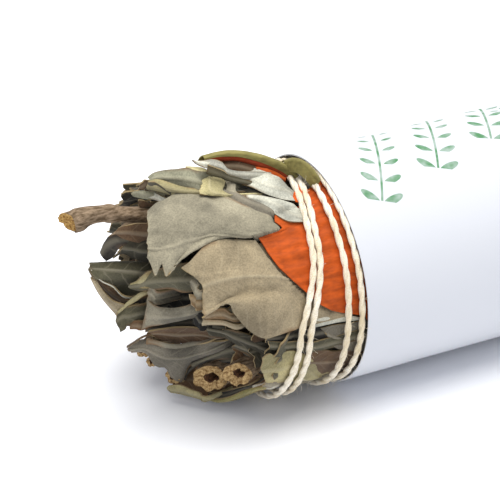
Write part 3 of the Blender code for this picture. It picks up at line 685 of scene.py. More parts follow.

# %% [markdown]
# The cut end shows rolled and folded leaves end on. There the pixels go with the distance along
# the bundle, which says how far each place stands out of the cut end. The far end of each leaf
# is hidden among the others, so its rails draw together there and it is tinted darker, which is
# painted shade for the inside of a bunch.

# %% Leaves at the cut end
# Each leaf: tint, crinkle, where it ends along the bundle, rails.
END_LEAVES = {
    # The rolled leaves of the top. The one with the small opening lies under the grey one.
    "grey_roll_on_top": ("blue", 0.25, -14, (
        ((150, 185, -31.4), (162, 186, -29.6), (176, 187, -27.4), (190, 189, -25.2), (204, 192, -23)),
        ((149, 181, -31.6), (158, 178, -30.2), (170, 178, -28.2), (184, 179, -26), (198, 182, -23.6),
         (206, 186, -21.6)),
        ((148, 178, -31.4), (154, 173, -30.4), (164, 170, -28.8), (176, 169, -26.8), (187, 168, -24.8),
         (198, 171, -22.8)),
    )),
    "yellow_roll": ("yellow", 0.12, -18, (
        ((147, 188, -32.2), (160, 191, -30.2), (174, 194, -28), (188, 193, -25.8)),
        ((146, 185, -32.7), (160, 187, -30.8), (174, 190, -28.6), (190, 192, -25.8)),
        ((146, 182, -32.3), (158, 180, -30.4), (172, 184, -28.4), (188, 188, -25.8)),
    )),
    # A near-black sheet: painted shade in the roll's opening.
    "painted_shade_in_the_yellow_roll": ("painted_shade_black", 0.0, -29, (
        ((148, 184.5, -32.9), (152, 185.5, -32.4), (157, 185.5, -31.7)),
        ((148, 182, -32.9), (153, 181.5, -32.4), (157, 183, -31.7)),
    )),
    "brown_crumple_beside_it": ("brown", 0.5, -28, (
        ((137, 190, -33.6), (143, 190, -32.9), (148, 188, -32)),
        ((139, 185, -33.8), (143, 182, -33), (147, 180, -32.2)),
    )),
    "shade_under_the_roll": ("painted_shade_black", 0.1, -20, (
        ((143, 192, -32.6), (158, 197, -30), (174, 198, -27.6), (190, 196, -25)),
        ((144, 188, -32.4), (158, 192, -30), (174, 195, -27.6), (190, 193, -25)),
    )),
    "blue_tongue": ("blue", 0.14, -24, (
        ((132, 196, -34.6), (141, 198, -33.2), (150, 199, -31.8)),
        ((130, 193, -34.9), (138, 192, -33.6), (148, 194, -32.2)),
        ((133, 191, -34.4), (141, 190, -33.2), (150, 191, -31.8)),
    )),
    "white_tongue_end": ("white", 0.12, -24, (
        ((148, 197, -32.2), (156, 200, -30.8), (165, 202, -29.4)),
        ((147, 192, -32.2), (156, 193, -30.8), (167, 198, -29.2)),
    )),
    "brown_crumple_by_the_twig": ("brown", 0.5, -26, (
        ((139, 221, -33), (143, 222, -32.4), (149, 222, -31.2)),
        ((138, 210, -33.2), (143, 210, -32.4), (149, 210, -31.2)),
        ((138, 199, -33.4), (144, 200, -32.4), (150, 203, -31.2)),
    )),
    "shade_by_the_twig": ("painted_shade_black", 0.1, -26, (
        ((139, 221, -33), (148, 221, -31.4)),
        ((141, 209, -33), (149, 207, -31.4)),
    )),
    "small_white_leaf_on_top": ("white", 0.22, -8, (
        ((192, 162, -23.6), (206, 168, -21.4), (214, 171, -20), (224, 174, -18.4), (232, 178, -17)),
        ((192, 160, -23.6), (203, 161, -21.4), (212, 159, -20.2), (222, 162, -18.6), (232, 170, -16.8)),
    )),
    "brown_leaf_under_the_petal": ("brown", 0.3, -4, (
        ((208, 171, -20.6), (222, 173, -18), (240, 175, -14.6), (258, 180, -11.2), (274, 186, -8)),
        ((205, 162, -20.4), (220, 160.5, -17.3), (237, 160, -14.1), (254, 165, -11.2), (272, 174, -8)),
    )),
    "dark_curl_on_top": ("green", 0.3, -12, (
        ((205, 173, -21.6), (214, 176, -20.2), (222, 178, -18.8), (232, 182, -17.2)),
        ((206, 164, -21.8), (214, 167, -20.4), (224, 171, -18.8), (232, 176, -17.2)),
    )),
    # Brown and grey leaves just under the twig.
    "brown_leaf_under_the_twig": ("brown", 0.4, -24, (
        ((119, 237, -38.2), (130, 240, -36.4), (147, 243, -33)),
        ((116, 232, -38.6), (128, 231, -36.8), (147, 234, -33.2)),
        ((118, 228, -38.3), (129, 224, -36.6), (147, 223, -33)),
    )),
    "dark_curl_under_it": ("shade", 0.28, -30, (
        ((106, 261, -39.8), (114, 256, -38.6), (126, 245, -37)),
        ((101, 254, -40.6), (106, 245, -39.8), (116, 240, -38.4), (126, 240, -36.8)),
        ((103, 246, -40), (109, 237, -39.2), (117, 234, -38), (127, 237, -36.4)),
    )),
    "grey_leaf_under_the_twig": ("dark", 0.25, -25, (
        ((112, 259, -38.4), (122, 253, -37), (133, 258, -35.2), (148, 261, -32.6)),
        ((122, 247, -37.6), (134, 249, -35.6), (148, 251, -33)),
        ((123, 241, -37.2), (134, 239, -35.4), (148, 240, -32.8)),
    )),
    # The rolled leaf that reaches out furthest, with its lower flap.
    "far_roll": ("green", 0.16, -26, (
        ((95, 266, -41.2), (115, 265, -37.6), (140, 265, -32.8)),
        ((89, 263, -42.5), (112, 262, -39), (135, 262, -34.8), (150, 262, -32)),
        ((88, 268, -42.9), (112, 270, -39.7), (135, 272, -35.4), (150, 273, -32.6)),
        ((91, 276, -42.7), (108, 282, -39.6), (125, 287, -36.2), (146, 290, -33)),
        ((96, 276, -41.2), (112, 281, -38.2), (128, 285, -35), (146, 288, -32)),
    )),
    "shade_in_the_far_roll": ("painted_shade_black", 0.1, -25, (
        ((137, 276, -34), (144, 278, -32.8), (150, 276, -31.6)),
        ((139, 261, -34), (146, 261, -32.6), (150, 262, -31.8)),
    )),
    "lower_flap": ("beige", 0.15, -30, (
        ((90, 276, -42.4), (97, 290, -41.3), (105, 301, -40.1), (115, 313, -38.9), (122, 318, -37.4)),
        ((92, 277, -42.3), (101, 291, -41.1), (109, 301, -40), (118, 309, -38.8), (126, 312, -37.2)),
        ((94, 277, -41.9), (104, 291, -40.7), (113, 300, -39.6), (123, 304, -38.2), (130, 305, -36.6)),
    )),
    # Its brown tint is painted shade on the flap's inner side.
    "painted_shade_inside_the_flap": ("brown", 0.15, -30, (
        ((95, 278, -41.3), (106, 293, -39.7), (118, 303, -37.9), (128, 304, -36.4)),
        ((98, 277, -41), (111, 287, -39.2), (122, 294, -37.4), (131, 297, -35.8)),
    )),
    "side_of_the_far_roll": ("green", 0.2, -26, (
        ((100, 293, -40.2), (112, 308, -38.2), (124, 319, -36), (142, 327, -33.2)),
        ((96, 284, -41), (112, 294, -38.6), (127, 303, -36.2), (146, 308, -33)),
        ((93, 274, -41.2), (112, 277, -38.6), (128, 282, -36), (148, 288, -32.8)),
    )),
    "bright_margin_of_the_flap": ("white", 0.0, -31, (
        ((91, 270, -42.6), (101, 281, -41), (113, 287, -39.2), (127, 298, -36.8)),
        ((91, 268.5, -42.6), (101, 279.5, -41), (113, 285.5, -39.2), (128, 296.5, -36.8)),
    )),
    "grey_lip": ("green", 0.14, -33, (
        ((120, 332, -38.8), (125, 329, -37.9), (128, 325, -37.2)),
        ((116, 321, -39.3), (123, 316, -38.2), (130, 315, -37)),
        ((117, 313, -39.2), (123, 308, -38), (131, 306, -36.8)),
    )),
    "rim_of_the_lip": ("yellow", 0.05, -28, (
        ((118, 313, -39), (127, 306, -37.4), (137, 300, -35.6), (148, 294, -33.8)),
        ((117, 311, -39.2), (126, 303, -37.5), (136, 295, -35.7), (147, 290, -33.9)),
    )),
    "inside_of_the_lip": ("shade", 0.1, -28, (
        ((121, 326, -37.6), (132, 326, -35.8), (143, 328, -34)),
        ((121, 315, -37.6), (131, 312, -35.8), (144, 312, -34)),
        ((124, 307, -37.2), (133, 301, -35.6), (146, 295, -33.4)),
    )),
    "brown_edge_of_the_lip": ("brown", 0.2, -30, (
        ((129, 329, -36.9), (136, 329, -35.8), (143, 330, -34.6)),
        ((129, 321, -36.9), (137, 320, -35.6), (145, 320, -34.2)),
    )),
    # The pale green leaf in the middle, with its dark hollow.
    "upper_leaf_of_the_hollow": ("green", 0.16, -20, (
        ((130, 288, -36.4), (140, 290, -35), (148, 290, -34), (158, 289, -32.8), (172, 288, -31),
         (188, 292, -29)),
        ((129, 286, -36.7), (140, 285, -35.4), (152, 281, -34.2), (165, 280, -32.6), (180, 279, -30.6),
         (193, 278, -28.6)),
        ((129, 285, -36.5), (137, 280, -35.2), (147, 271, -34.2), (158, 269, -32.8), (172, 265, -31),
         (190, 262, -28.5)),
    )),
    "pale_tip_of_it": ("yellow", 0.1, -31, (
        ((130, 288, -36.6), (138, 288, -35.6), (148, 288, -34.4)),
        ((129, 284, -36.7), (138, 280, -35.4), (148, 272, -34.4)),
    )),
    "left_side_of_the_hollow": ("grey", 0.1, -28, (
        ((146, 300, -34.6), (152, 303, -33.6), (158, 305, -32.8)),
        ((147, 290, -34.4), (153, 294, -33.4), (157, 298, -32.6)),
        ((148, 285, -34.4), (154, 287, -33.4), (160, 291, -32.4)),
    )),
    "lower_leaf_of_the_hollow": ("grey", 0.16, -20, (
        ((140, 330, -35.3), (150, 326, -33.8), (162, 324, -32), (176, 321, -30), (193, 317, -27.6)),
        ((143, 321, -35), (155, 320, -33.4), (168, 319, -31.6), (182, 317, -29.6), (195, 313, -27.6)),
        ((146, 307, -34.6), (155, 311, -33.6), (168, 313, -32), (182, 312, -30), (194, 309, -28.2)),
        ((146, 297, -34.4), (152, 303, -33.8), (160, 307, -32.8), (172, 308, -31.2), (185, 306, -29.6),
         (193, 303, -28.2)),
    )),
    # A near-black sheet: painted shade at the bottom of the hollow.
    "painted_shade_at_the_bottom_of_the_hollow": ("painted_shade_black", 0.1, -18, (
        ((152, 308, -31.5), (175, 309, -28.5), (195, 306, -26)),
        ((152, 296, -31), (175, 297, -28), (195, 297, -25.6)),
        ((152, 286, -31), (175, 286, -28), (195, 286, -25.6)),
    )),
    # The brown-lined roll under it.
    "outside_of_the_long_roll": ("grey", 0.15, -19, (
        ((146, 344, -34.2), (155, 344, -32.8), (166, 347, -31.2), (180, 348, -29.3), (194, 346, -27.4),
         (210, 342, -25.2)),
        ((147, 337, -33.9), (156, 340, -32.6), (168, 342, -31), (180, 344, -29.2), (192, 342, -27.4),
         (206, 341, -25.4)),
    )),
    "lining_of_the_long_roll": ("brown", 0.15, -18, (
        ((150, 335, -33.2), (164, 340, -31), (180, 343, -28.8), (198, 341, -26.2), (216, 340, -23.8)),
        ((146, 333, -33.6), (160, 333, -31.8), (178, 334, -29.2), (200, 334, -26), (222, 337, -22.9)),
        ((148, 331, -33.8), (160, 329, -32.2), (176, 327, -30), (192, 327, -27.7), (208, 331, -25.2),
         (224, 335, -22.8)),
    )),
    "shade_above_the_roll": ("painted_shade_black", 0.1, -16, (
        ((144, 332, -33.2), (160, 328, -31), (180, 326, -28.4), (204, 328, -25.2), (232, 334, -21)),
        ((146, 327, -33), (162, 323, -31), (180, 320, -28.4), (202, 318, -25.4), (230, 324, -21.4)),
    )),
    # The wide lower leaf, and the tent-shaped one over the cut stem.
    "wide_lower_leaf": ("lilac", 0.22, -17, (
        ((130, 352, -36), (146, 353, -33.8), (155, 366, -32.2), (166, 368, -30.4), (170, 376, -29.4),
         (180, 382, -28), (184, 378, -27.2), (188, 366, -26.4), (206, 357, -24.4), (235, 347, -20.8)),
        ((129, 351, -36.3), (143, 350, -34.4), (154, 357, -32.6), (166, 362, -30.8), (180, 362, -28.8),
         (198, 356, -26.2), (224, 347, -22.6)),
        ((128, 350, -36.3), (140, 346, -34.8), (152, 346, -33), (166, 352, -31), (182, 354, -28.8),
         (200, 350, -26.2), (222, 343, -22.8)),
        ((128, 349, -36), (134, 343, -35.2), (146, 339, -33.4), (160, 342, -31.6), (166, 341, -30.8),
         (178, 345, -29.2), (192, 345, -27.2), (206, 342, -25.4), (228, 340, -22.2)),
    )),
    "brown_margin_of_the_wide_leaf": ("shade", 0.05, -30, (
        ((128, 348, -36.5), (136, 343, -35.4), (146, 337, -34)),
        ((128, 346, -36.4), (136, 341, -35.3), (146, 335, -33.9)),
    )),
    "shade_under_the_wide_leaf": ("painted_shade_black", 0.1, -17, (
        ((182, 384, -26.4), (190, 372, -25.8), (206, 362, -23.8), (226, 354, -21)),
        ((184, 376, -27), (190, 365, -26.2), (206, 357, -24.2), (226, 349, -21.6)),
    )),
    "tent_leaf": ("dark", 0.15, -14, (
        ((192, 366, -26), (204, 363, -24.4), (216, 360, -22.8), (228, 359, -21.4), (240, 357, -20.2),
         (250, 358, -19.2)),
        ((191, 365, -26.8), (205, 359, -24.9), (218, 354, -23.2), (230, 350, -21.8), (242, 350, -20.4),
         (252, 355, -19.2)),
        ((191, 363, -26.4), (206, 356, -24.2), (218, 351, -22.6), (231, 344, -21), (242, 348, -19.8),
         (252, 354, -18.8)),
    )),
    "shade_under_the_tent": ("painted_shade_black", 0.1, -16, (
        ((196, 372, -25), (216, 366, -22.4), (236, 364, -20), (252, 368, -18.2), (262, 376, -17)),
        ((196, 363, -25.2), (216, 358, -22.8), (236, 354, -20.4), (252, 358, -18.6), (262, 364, -17)),
    )),
    # Small crumpled leaves between the hollow and the string.
    "crumpled_leaf_1": ("dark", 0.45, -12, (
        ((208, 334, -26), (224, 338, -23.8), (240, 345, -21.4), (256, 351, -19.4), (272, 354, -17)),
        ((206, 328, -26.4), (222, 332, -24.2), (238, 338, -22), (254, 344, -19.8), (270, 349, -17.2)),
        ((214, 330, -25.2), (226, 329, -23.6), (240, 332, -21.8), (254, 337, -19.8), (268, 342, -17.4)),
    )),
    "crumpled_leaf_2": ("dark", 0.4, -12, (
        ((231, 347, -22.2), (244, 352, -20.7), (256, 360, -18.8), (268, 366, -17)),
        ((236, 339, -22), (248, 344, -20.4), (260, 350, -18.6), (272, 354, -17)),
    )),
    "beige_scrap_1": ("beige", 0.25, -19, (
        ((202, 325, -27.2), (212, 324, -26), (224, 325, -24.6), (238, 329, -22.8)),
        ((203, 318, -27.4), (212, 319, -26.2), (224, 320, -24.8), (238, 324, -23)),
    )),
    "brown_scrap_2": ("gold", 0.3, -19, (
        ((203, 321, -27.2), (213, 319, -26.2), (226, 319, -24.8), (238, 322, -23.2)),
        ((205, 314, -27.2), (214, 310, -26.4), (224, 308, -25.2), (234, 313, -23.8)),
    )),
    "shade_beside_the_hollow": ("painted_shade_black", 0.1, -18, (
        ((193, 322, -27.4), (199, 328, -26.6), (206, 330, -25.4)),
        ((193, 302, -27.6), (198, 306, -27), (203, 312, -26.2)),
    )),
    # The pale green leaf that lies on the table, folded over its end.
    "leaf_on_the_table": ("yellow", 0.14, -12, (
        ((169, 392, -30), (180, 394, -28.4), (190, 396.5, -26.9), (200, 399, -25.5), (211, 400, -24)),
        ((167, 388, -30.2), (180, 390, -28.6), (191, 392, -27.1), (202, 395, -25.4), (211, 397, -24.2)),
        ((168, 385, -30), (180, 385, -28.6), (191, 389, -27.2), (200, 392, -25.7), (210, 395, -24.4)),
    )),
    "inside_of_the_table_leaf": ("brown", 0.2, -12, (
        ((171, 388, -28.4), (190, 392, -25.8), (212, 396, -22.6), (238, 391, -19)),
        ((181, 368, -26.2), (196, 366, -24), (214, 368, -21.4), (242, 368, -17.6)),
    )),
    "shade_in_the_table_leaf": ("painted_shade_black", 0.1, -13, (
        ((208, 399, -23.2), (224, 398, -21.4), (240, 391, -19.6), (254, 386, -18)),
        ((208, 393, -23.6), (224, 391, -21.8), (240, 387, -20), (254, 382, -18.4)),
    )),
    "lip_of_the_table_leaf": ("olive", 0.14, -11, (
        ((210, 400, -23.7), (217, 402, -22.8), (230, 401, -21.2), (245, 396, -19.3), (257, 391, -18),
         (268, 388, -16.7)),
        ((212, 398, -23.7), (220, 399, -22.7), (232, 396, -21.2), (244, 390, -19.7), (256, 386, -18.3),
         (268, 383, -16.9)),
    )),
    "pale_end_of_the_lip": ("white", 0.14, -9, (
        ((254, 391, -18.3), (264, 389, -17.2), (276, 387, -15.8)),
        ((253, 385, -18.6), (264, 382, -17.4), (276, 381, -16)),
    )),
}


def end_rails(rails, ends_at):
    """Rails as places, with a hidden end that lies deeper in and a little nearer the axis."""
    made = []
    for rail in rails:
        places = [seen_along(*pixel) for pixel in rail]
        last = places[-1]
        made.append(places + [Vector((max(ends_at, last.x + 2), last.y * 0.9, last.z * 0.9))])
    return made


def lay_end_leaves():
    for number, leaf in enumerate(END_LEAVES.values()):
        tint, crinkle, ends_at, rails = leaf
        # Each leaf's hidden end is darkened: painted shade.
        lay_rails(
            end_rails(rails, ends_at), tint, 41 + number, polar=False, along=32, across=7 * len(rails),
            crinkle=crinkle, torn=0.5, loose=True, hidden_end_shade=0.45
        )


lay_end_leaves()
print("Leaves at the cut end:", len(END_LEAVES))

# %% [markdown]
# ## The leaves that fill the bunch
# Behind those lie dozens more. A loop lays them from a fixed seed: layers of outer leaves
# round the cut end, crumpled ones packed inside it, and pointed tips at the far end, which the
# photo doesn't show. At the cut end the deeper layers get darker tints, which is painted shade
# for the dark inside of the bunch.

# %% Leaves laid by a loop
draws = random.Random(20)
# Darker tints for the deeper layers at the cut end: painted shade.
SHADE_PAINTED_DEEP_TINTS = ("grey", "dark", "green")
OUTER_TINTS = ("pale", "grey", "green", "beige", "blue")
# Each layer: how deep it lies, how many leaves go round it, and where their tips are.
FRONT_LAYERS = ((2.6, 16, -31), (1.7, 15, -30), (0.9, 14, -32))
BLUNT_LEAF = ((0, 0.55), (0.25, 0.95), (0.5, 1.0), (0.75, 0.8), (1, 0.6))
# Each ring: its distance from the axis and how many leaves go round it.
PACKED_RINGS = ((2.5, 5), (6.0, 9), (9.5, 13), (13.0, 17), (16.2, 20))
# Each layer: how deep it lies and how many leaves go round it.
BACK_LAYERS = ((3.2, 12), (1.9, 13), (0.8, 14), (0.1, 12))
POINTED_LEAF = ((0, 0.05), (0.16, 0.5), (0.35, 0.85), (0.6, 1.0), (1, 0.7))


def outer_leaf(middle, tip, root, half, layer, tint, seed, lift, points):
    """A leaf on the outside, from its free tip to its root under the string or the sleeve. Its
    points are (share of that way, share of its width)."""
    rails = []
    for side in (-1, -0.35, 0.35, 1):
        rail = []
        for share, width in points:
            x = tip + (root - tip) * share
            radius = 20.3 - layer + lift * (1 - share) ** 2 + draws.uniform(-0.25, 0.25)
            rail.append((x, middle + side * half * width, radius))
        rails.append(rail)
    cup = draws.uniform(-1, 1.4)
    lay_rails(rails, tint, seed, layer=layer, along=20, across=12, torn=1.6, crinkle=0.45, cup=cup)


def foremost(angle):
    """How far forward a loop's leaf may reach, so that it stays behind the ones listed one by one."""
    angle = (angle + 180) % 360 - 180
    if -140 < angle < -25:
        return -11
    if -25 <= angle < 104:
        return -20
    return -26.5 if angle <= -140 else -31.5


def lay_front_layers():
    count = 0
    for layer, around, front in FRONT_LAYERS:
        for number in range(around):
            middle = 360 * (number + 0.5 * (layer > 1) + draws.uniform(-0.2, 0.2)) / around
            near = foremost(middle) > -21
            under = foremost(middle) > -12
            if near and layer < 1:
                continue
            tip = max(front + draws.uniform(-4, 3), foremost(middle) + draws.uniform(-1.5, 2))
            lift = draws.uniform(0.5, 2.0) if near else draws.uniform(1.5, 4.5)
            lift *= 1 - under
            tint = draws.choice(SHADE_PAINTED_DEEP_TINTS if layer > 1 else OUTER_TINTS)
            outer_leaf(middle, tip, 6, draws.uniform(15, 22), layer, tint, 100 + count, lift, BLUNT_LEAF)
            count += 1
    return count


def lay_packed_leaves():
    count = 0
    for ring, around in PACKED_RINGS:
        for number in range(around):
            angle = 360 * (number + draws.uniform(-0.3, 0.3)) / around
            radius = ring + draws.uniform(-1.2, 1.2)
            end = draws.uniform(-32.5, -26.5)
            start = flat(end, angle, radius)
            if start.y < 3.5 or start.z > 13:
                start.x = draws.uniform(-25, -19)
            elif start.z < -8:
                start.x = draws.uniform(-27, -22)
            spine = (start, start * 0.97 + Vector((6, 0, 0)), start * 0.93 + Vector((20, 0, 0)))
            width = draws.uniform(6, 12)
            tint = draws.choice(("grey", "dark", "green", "brown", "shade", "pale", "grey"))
            lay_curl(
                spine, (width * 0.6, width, width * 0.9), draws.choice((-1, 1)) * draws.uniform(2.2, 8),
                angle + draws.uniform(-70, 70), tint, 300 + count, 14, 9, 1.6, 0.6,
                twist=draws.uniform(-30, 30)
            )
            count += 1
    return count


INNER_TIPS = 26


def lay_back_leaves():
    count = 0
    for layer, around in BACK_LAYERS:
        for number in range(around):
            middle = 360 * (number + draws.uniform(-0.25, 0.25)) / around + 13 * layer
            tip = draws.uniform(99, 111) - 2 * layer
            tint = draws.choice(("pale", "grey", "green", "beige", "white", "blue"))
            sink = -draws.uniform(2, 7)
            outer_leaf(middle, tip, 62, draws.uniform(18, 24), layer, tint, 500 + count, sink, POINTED_LEAF)
            count += 1
    for number in range(INNER_TIPS):
        angle, radius = draws.uniform(0, 360), draws.uniform(1, 12)
        tip = flat(draws.uniform(96, 108), angle, radius)
        spine = (tip, tip + Vector((-10, 0, 0)), tip + Vector((-28, 0, 0)))
        tint = draws.choice(("grey", "dark", "green", "pale"))
        lay_curl(
            spine, (1.5, 8, 8), draws.choice((-1, 1)) * draws.uniform(3, 9),
            angle + draws.uniform(-60, 60), tint, 700 + number, 14, 8, 1.0, 0.5
        )
    return count + INNER_TIPS


print("Outer front leaves:", lay_front_layers())
print("Packed leaves:", lay_packed_leaves())
print("Leaves at the far end:", lay_back_leaves())

# %% [markdown]
# ## Giving the leaves their thickness
# A dried sage leaf is 0.25 to 0.4 mm thick with its down. The Solidify modifier gives each
# sheet its thickness, its other face the second material and its edge the third.

# %% Finish the leaf meshes
finished = []


def finished_piece(name, mesh, materials, thickness, second_face, rim=0):
    """Turns a mesh of sheets into a piece with thickness, in the row frame."""
    for vert in mesh.verts:
        vert.co = in_frame(vert.co)
    data = bpy.data.meshes.new(name)
    mesh.to_mesh(data)
    mesh.free()
    sheet = linked(name + "_sheet", data)
    for finish in materials:
        data.materials.append(finish)
    wall = sheet.modifiers.new("thickness", "SOLIDIFY")
    wall.thickness = thickness * MM
    wall.offset = 0
    wall.material_offset = second_face
    wall.material_offset_rim = rim
    graph = bpy.context.evaluated_depsgraph_get()
    solid = bpy.data.meshes.new_from_object(sheet.evaluated_get(graph))
    solid.name = name
    bpy.data.objects.remove(sheet)
    solid.polygons.foreach_set("use_smooth", [True] * len(solid.polygons))
    solid.set_sharp_from_angle(angle=math.radians(60))
    return linked(name, solid)


def place_piece(piece, slot, *replaced):
    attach(piece, "root")
    if replaced:
        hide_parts(*replaced)
    finished.append(piece)


for stem in sorted(leaves):
    finishes = (leaf_face, leaf_back, leaf_edge)
    leaf_piece = finished_piece(stem + "_leaves", leaves[stem], finishes, LEAF_THICKNESS, 1, 2)
    place_piece(leaf_piece, "dried_sage", stem)
    print(leaf_piece.name, len(leaf_piece.data.polygons), "faces")

# %% [markdown]
# ## Cut stems and the twig
# A sage stem is woody: grey-brown bark with ridges along it, pale wood inside and a soft brown
# pith that shrinks to a hole. The bar starts as a cone of two equal ends; its long edges are
# cut into rings, its front end is inset for bark, wood and pith, and then every point is moved
# along the stem's path with a little noise. The cut face is left rough, as snapped wood is.

# %% Wood materials
BARK_RIDGE = 0.5


def wood_material(name, light, dark, grain_mm, stretch, relief):
    made, tree, shader = new_material(name, 0.82)
    world = add_node(tree, "TexCoord", {}).outputs["Object"]
    drawn = add_node(tree, "Mapping", {0: world, "Scale": (stretch, 1.0, 1.0)})
    grain = add_node(
        tree, "TexNoise",
        {"Vector": drawn, "Scale": 1 / (grain_mm * MM), "Detail": 4.0, "Roughness": 0.65},
    )
    spread = add_node(tree, "MapRange", {0: grain, 1: 0.36, 2: 0.64})
    colour = add_node(
        tree, "Mix", {0: spread, 6: linear(dark), 7: linear(light)}, data_type="RGBA"
    ).outputs[2]
    tree.links.new(colour, shader.inputs["Base Color"])
    bump = add_node(tree, "Bump", {"Strength": relief, "Distance": 0.25 * MM, "Height": grain})
    tree.links.new(bump.outputs[0], shader.inputs["Normal"])
    return made


bark = wood_material("ridged_sage_bark", "#97826A", "#54432F", BARK_RIDGE, 0.3, 0.8)
cut_wood = wood_material("snapped_sage_wood", "#C8A25E", "#7A5426", 0.45, 1.0, 1.0)
pale_wood = wood_material("cut_sage_wood", "#C2A472", "#70522F", 0.5, 1.0, 0.8)
pith = wood_material("dried_pith", "#5C3B22", "#2A1A10", 0.4, 1.0, 0.8)
print("Bark ridges of", BARK_RIDGE, "mm")

# %% A woody bar with a cut end


def ringed_bar(sides, rings):
    """A round bar, 1 in radius and 1 long, with rings cut round it."""
    bar = bmesh.new()
    bmesh.ops.create_cone(bar, cap_ends=True, segments=sides, radius1=1, radius2=1, depth=1)
    long_edges = [e for e in bar.edges if abs(e.verts[0].co.z - e.verts[1].co.z) > 0.5]
    bmesh.ops.subdivide_edges(bar, edges=long_edges, cuts=rings)
    return bar


def bar_piece(name, bar, finishes):
    """The piece that a bent and roughened bar makes."""
    bmesh.ops.recalc_face_normals(bar, faces=bar.faces[:])
    data = bpy.data.meshes.new(name)
    bar.to_mesh(data)
    bar.free()
    for finish in finishes:
        data.materials.append(finish)
    data.polygons.foreach_set("use_smooth", [True] * len(data.polygons))
    return linked(name, data)


def wood_bar(name, path, radii, insets, finishes, lean, rough, sides, rings, lobes=0.0):
    """A stem along path, in millimetres from the axis. Insets are (width, depth, finish) in
    shares of its radius, from the bark inwards, and lean slants its cut face."""
    bar = ringed_bar(sides, rings)
    cap = min(bar.faces, key=lambda face: face.calc_center_median().z)
    for width, depth, finish in insets:
        bmesh.ops.inset_individual(bar, faces=[cap], thickness=width, use_even_offset=True)
        cap.material_index = finish
        for edge in cap.edges:
            for face in edge.link_faces:
                if face is not cap:
                    face.material_index = finish
        for vert in cap.verts:
            vert.co.z += depth * 0.01
    if len(cap.verts) > 4:
        bmesh.ops.poke(bar, faces=[cap])
    line = [Vector(point) for point in path]
    shares, length = share_of_way(line, False)
    sizes = [Vector((radius, 0, 0)) for radius in radii]
    size_shares = [i / (len(sizes) - 1) for i in range(len(sizes))]
    for vert in bar.verts:
        along = vert.co.z + 0.5
        sunk = 0.0
        if math.hypot(vert.co.x, vert.co.y) < 0.99 and along < 0.2:
            sunk, along = along * 100, 0.0
        centre = on_curve(line, shares, along)
        ahead, behind = on_curve(line, shares, along + 0.02), on_curve(line, shares, max(along - 0.02, 0))
        forward = (ahead - behind).normalized()
        side = forward.cross(Vector((0, 0, 1))).normalized()
        up = side.cross(forward)
        radius = on_curve(sizes, size_shares, along).x
        turn = math.atan2(vert.co.y, vert.co.x)
        ridge = noise.noise(Vector((math.cos(turn) * 2.2, math.sin(turn) * 2.2, along * length / 5)))
        wide = 1 + rough * ridge + lobes * math.cos(2 * turn)
        point = centre + (side * vert.co.x + up * vert.co.y) * (radius * wide)
        if along < 0.001:
            grit = noise.noise(Vector((vert.co.x * 3.1, vert.co.y * 3.1, radius)))
            slant = vert.co.x * lean[0] + vert.co.y * lean[1]
            point += forward * (radius * (sunk + 0.35 * grit + slant))
        vert.co = in_frame(point)
    piece = bar_piece(name, bar, finishes)
    piece.data.set_sharp_from_angle(angle=math.radians(42))
    return piece


# The CAD twig's tip, bend and root, as (along, angle, distance from the axis).
TWIG_PATH = ((-46.3, 106, 19.6), (-40.0, 104, 19.9), (-23.0, 101, 15.5))
TWIG_RADII = (2.0, 2.15, 1.75, 1.5, 1.7, 1.5, 1.45, 1.5, 1.5, 1.45, 1.5, 1.5, 1.5)
SNAPPED = ((0.12, 0.0, 1), (0.3, 0.12, 1), (0.22, 0.0, 1))
HOLLOW = ((0.1, 0.0, 1), (0.48, 0.05, 1), (0.1, 0.1, 2), (0.06, 1.2, 2))

twig = wood_bar(
    "side_twig_wood", [flat(*place) for place in TWIG_PATH], TWIG_RADII, SNAPPED,
    (bark, cut_wood), (0.7, -0.2), 0.14, 28, 60
)
place_piece(twig, "twig_bark", "side_twig")
print(twig.name, len(twig.data.polygons), "faces")

# %% The stems at the cut end
# Twin stems grow out of one foot, so their cut ends touch. Each place is a pixel of the cut end's
# middle with millimetres along the bundle, then radius, how the cut slants and how oval it is.
SEEN_STEMS = {
    "thick_cut_stem": ("leafy_stem_7", (211, 378, -24.4), 2.9, (0.6, 0.1), 0.06),
    "twin_cut_stem": ("leafy_stem_7", (238, 374, -22.4), 2.4, (0.6, 0.15), 0.08),
    "small_stem_1": ("leafy_stem_6", (151, 362, -32.4), 1.0, (0.2, 0.2), 0.0),
    "small_stem_2": ("leafy_stem_6", (173, 377, -29.0), 1.5, (0.1, 0.2), 0.05),
}
# Stems that the photo doesn't show, as (along, back, up) from the axis, and their radius.
FAR_STEMS = {
    "small_stem_3": ("leafy_stem_4", (-35, 11.5, 9.0), 1.6),
    "small_stem_4": ("leafy_stem_5", (-34.5, 12.5, -4.5), 1.9),
    "small_stem_5": ("leafy_stem_6", (-31.5, 8.5, -14.0), 1.5),
}


def add_cut_stem(name, node, end, radius, lean, lobes):
    """A stem that runs from its cut end into the bunch, slanting to the back and a little up."""
    path = (end, end + Vector((7, 3.6, 0.8)), end + Vector((15, 6.5, 1.5)))
    radii = (radius, radius * 0.97, radius * 0.95)
    stem = wood_bar(name, path, radii, HOLLOW, (bark, pale_wood, pith), lean, 0.2, 26, 20, lobes)
    place_piece(stem, "dried_sage", node)


for name, (node, pixel, radius, lean, lobes) in SEEN_STEMS.items():
    add_cut_stem(name, node, seen_along(*pixel), radius, lean, lobes)
for name, (node, end, radius) in FAR_STEMS.items():
    add_cut_stem(name, node, Vector(end), radius, (0.15, 0.1), 0.05)
print("Cut stems:", len(SEEN_STEMS) + len(FAR_STEMS))

# %% [markdown]
# ## The dark heart of the bunch
# Deep inside, leaves are packed so tight that only darkness shows between them. A single rough
# plug, set back from the cut end, closes those gaps and stops light from shining through.

# %% Packed heart


HEART_FROM = -16
HEART_LENGTH = 108
HEART_RADIUS = 17.2
HEART_TAPERS_FROM = 84


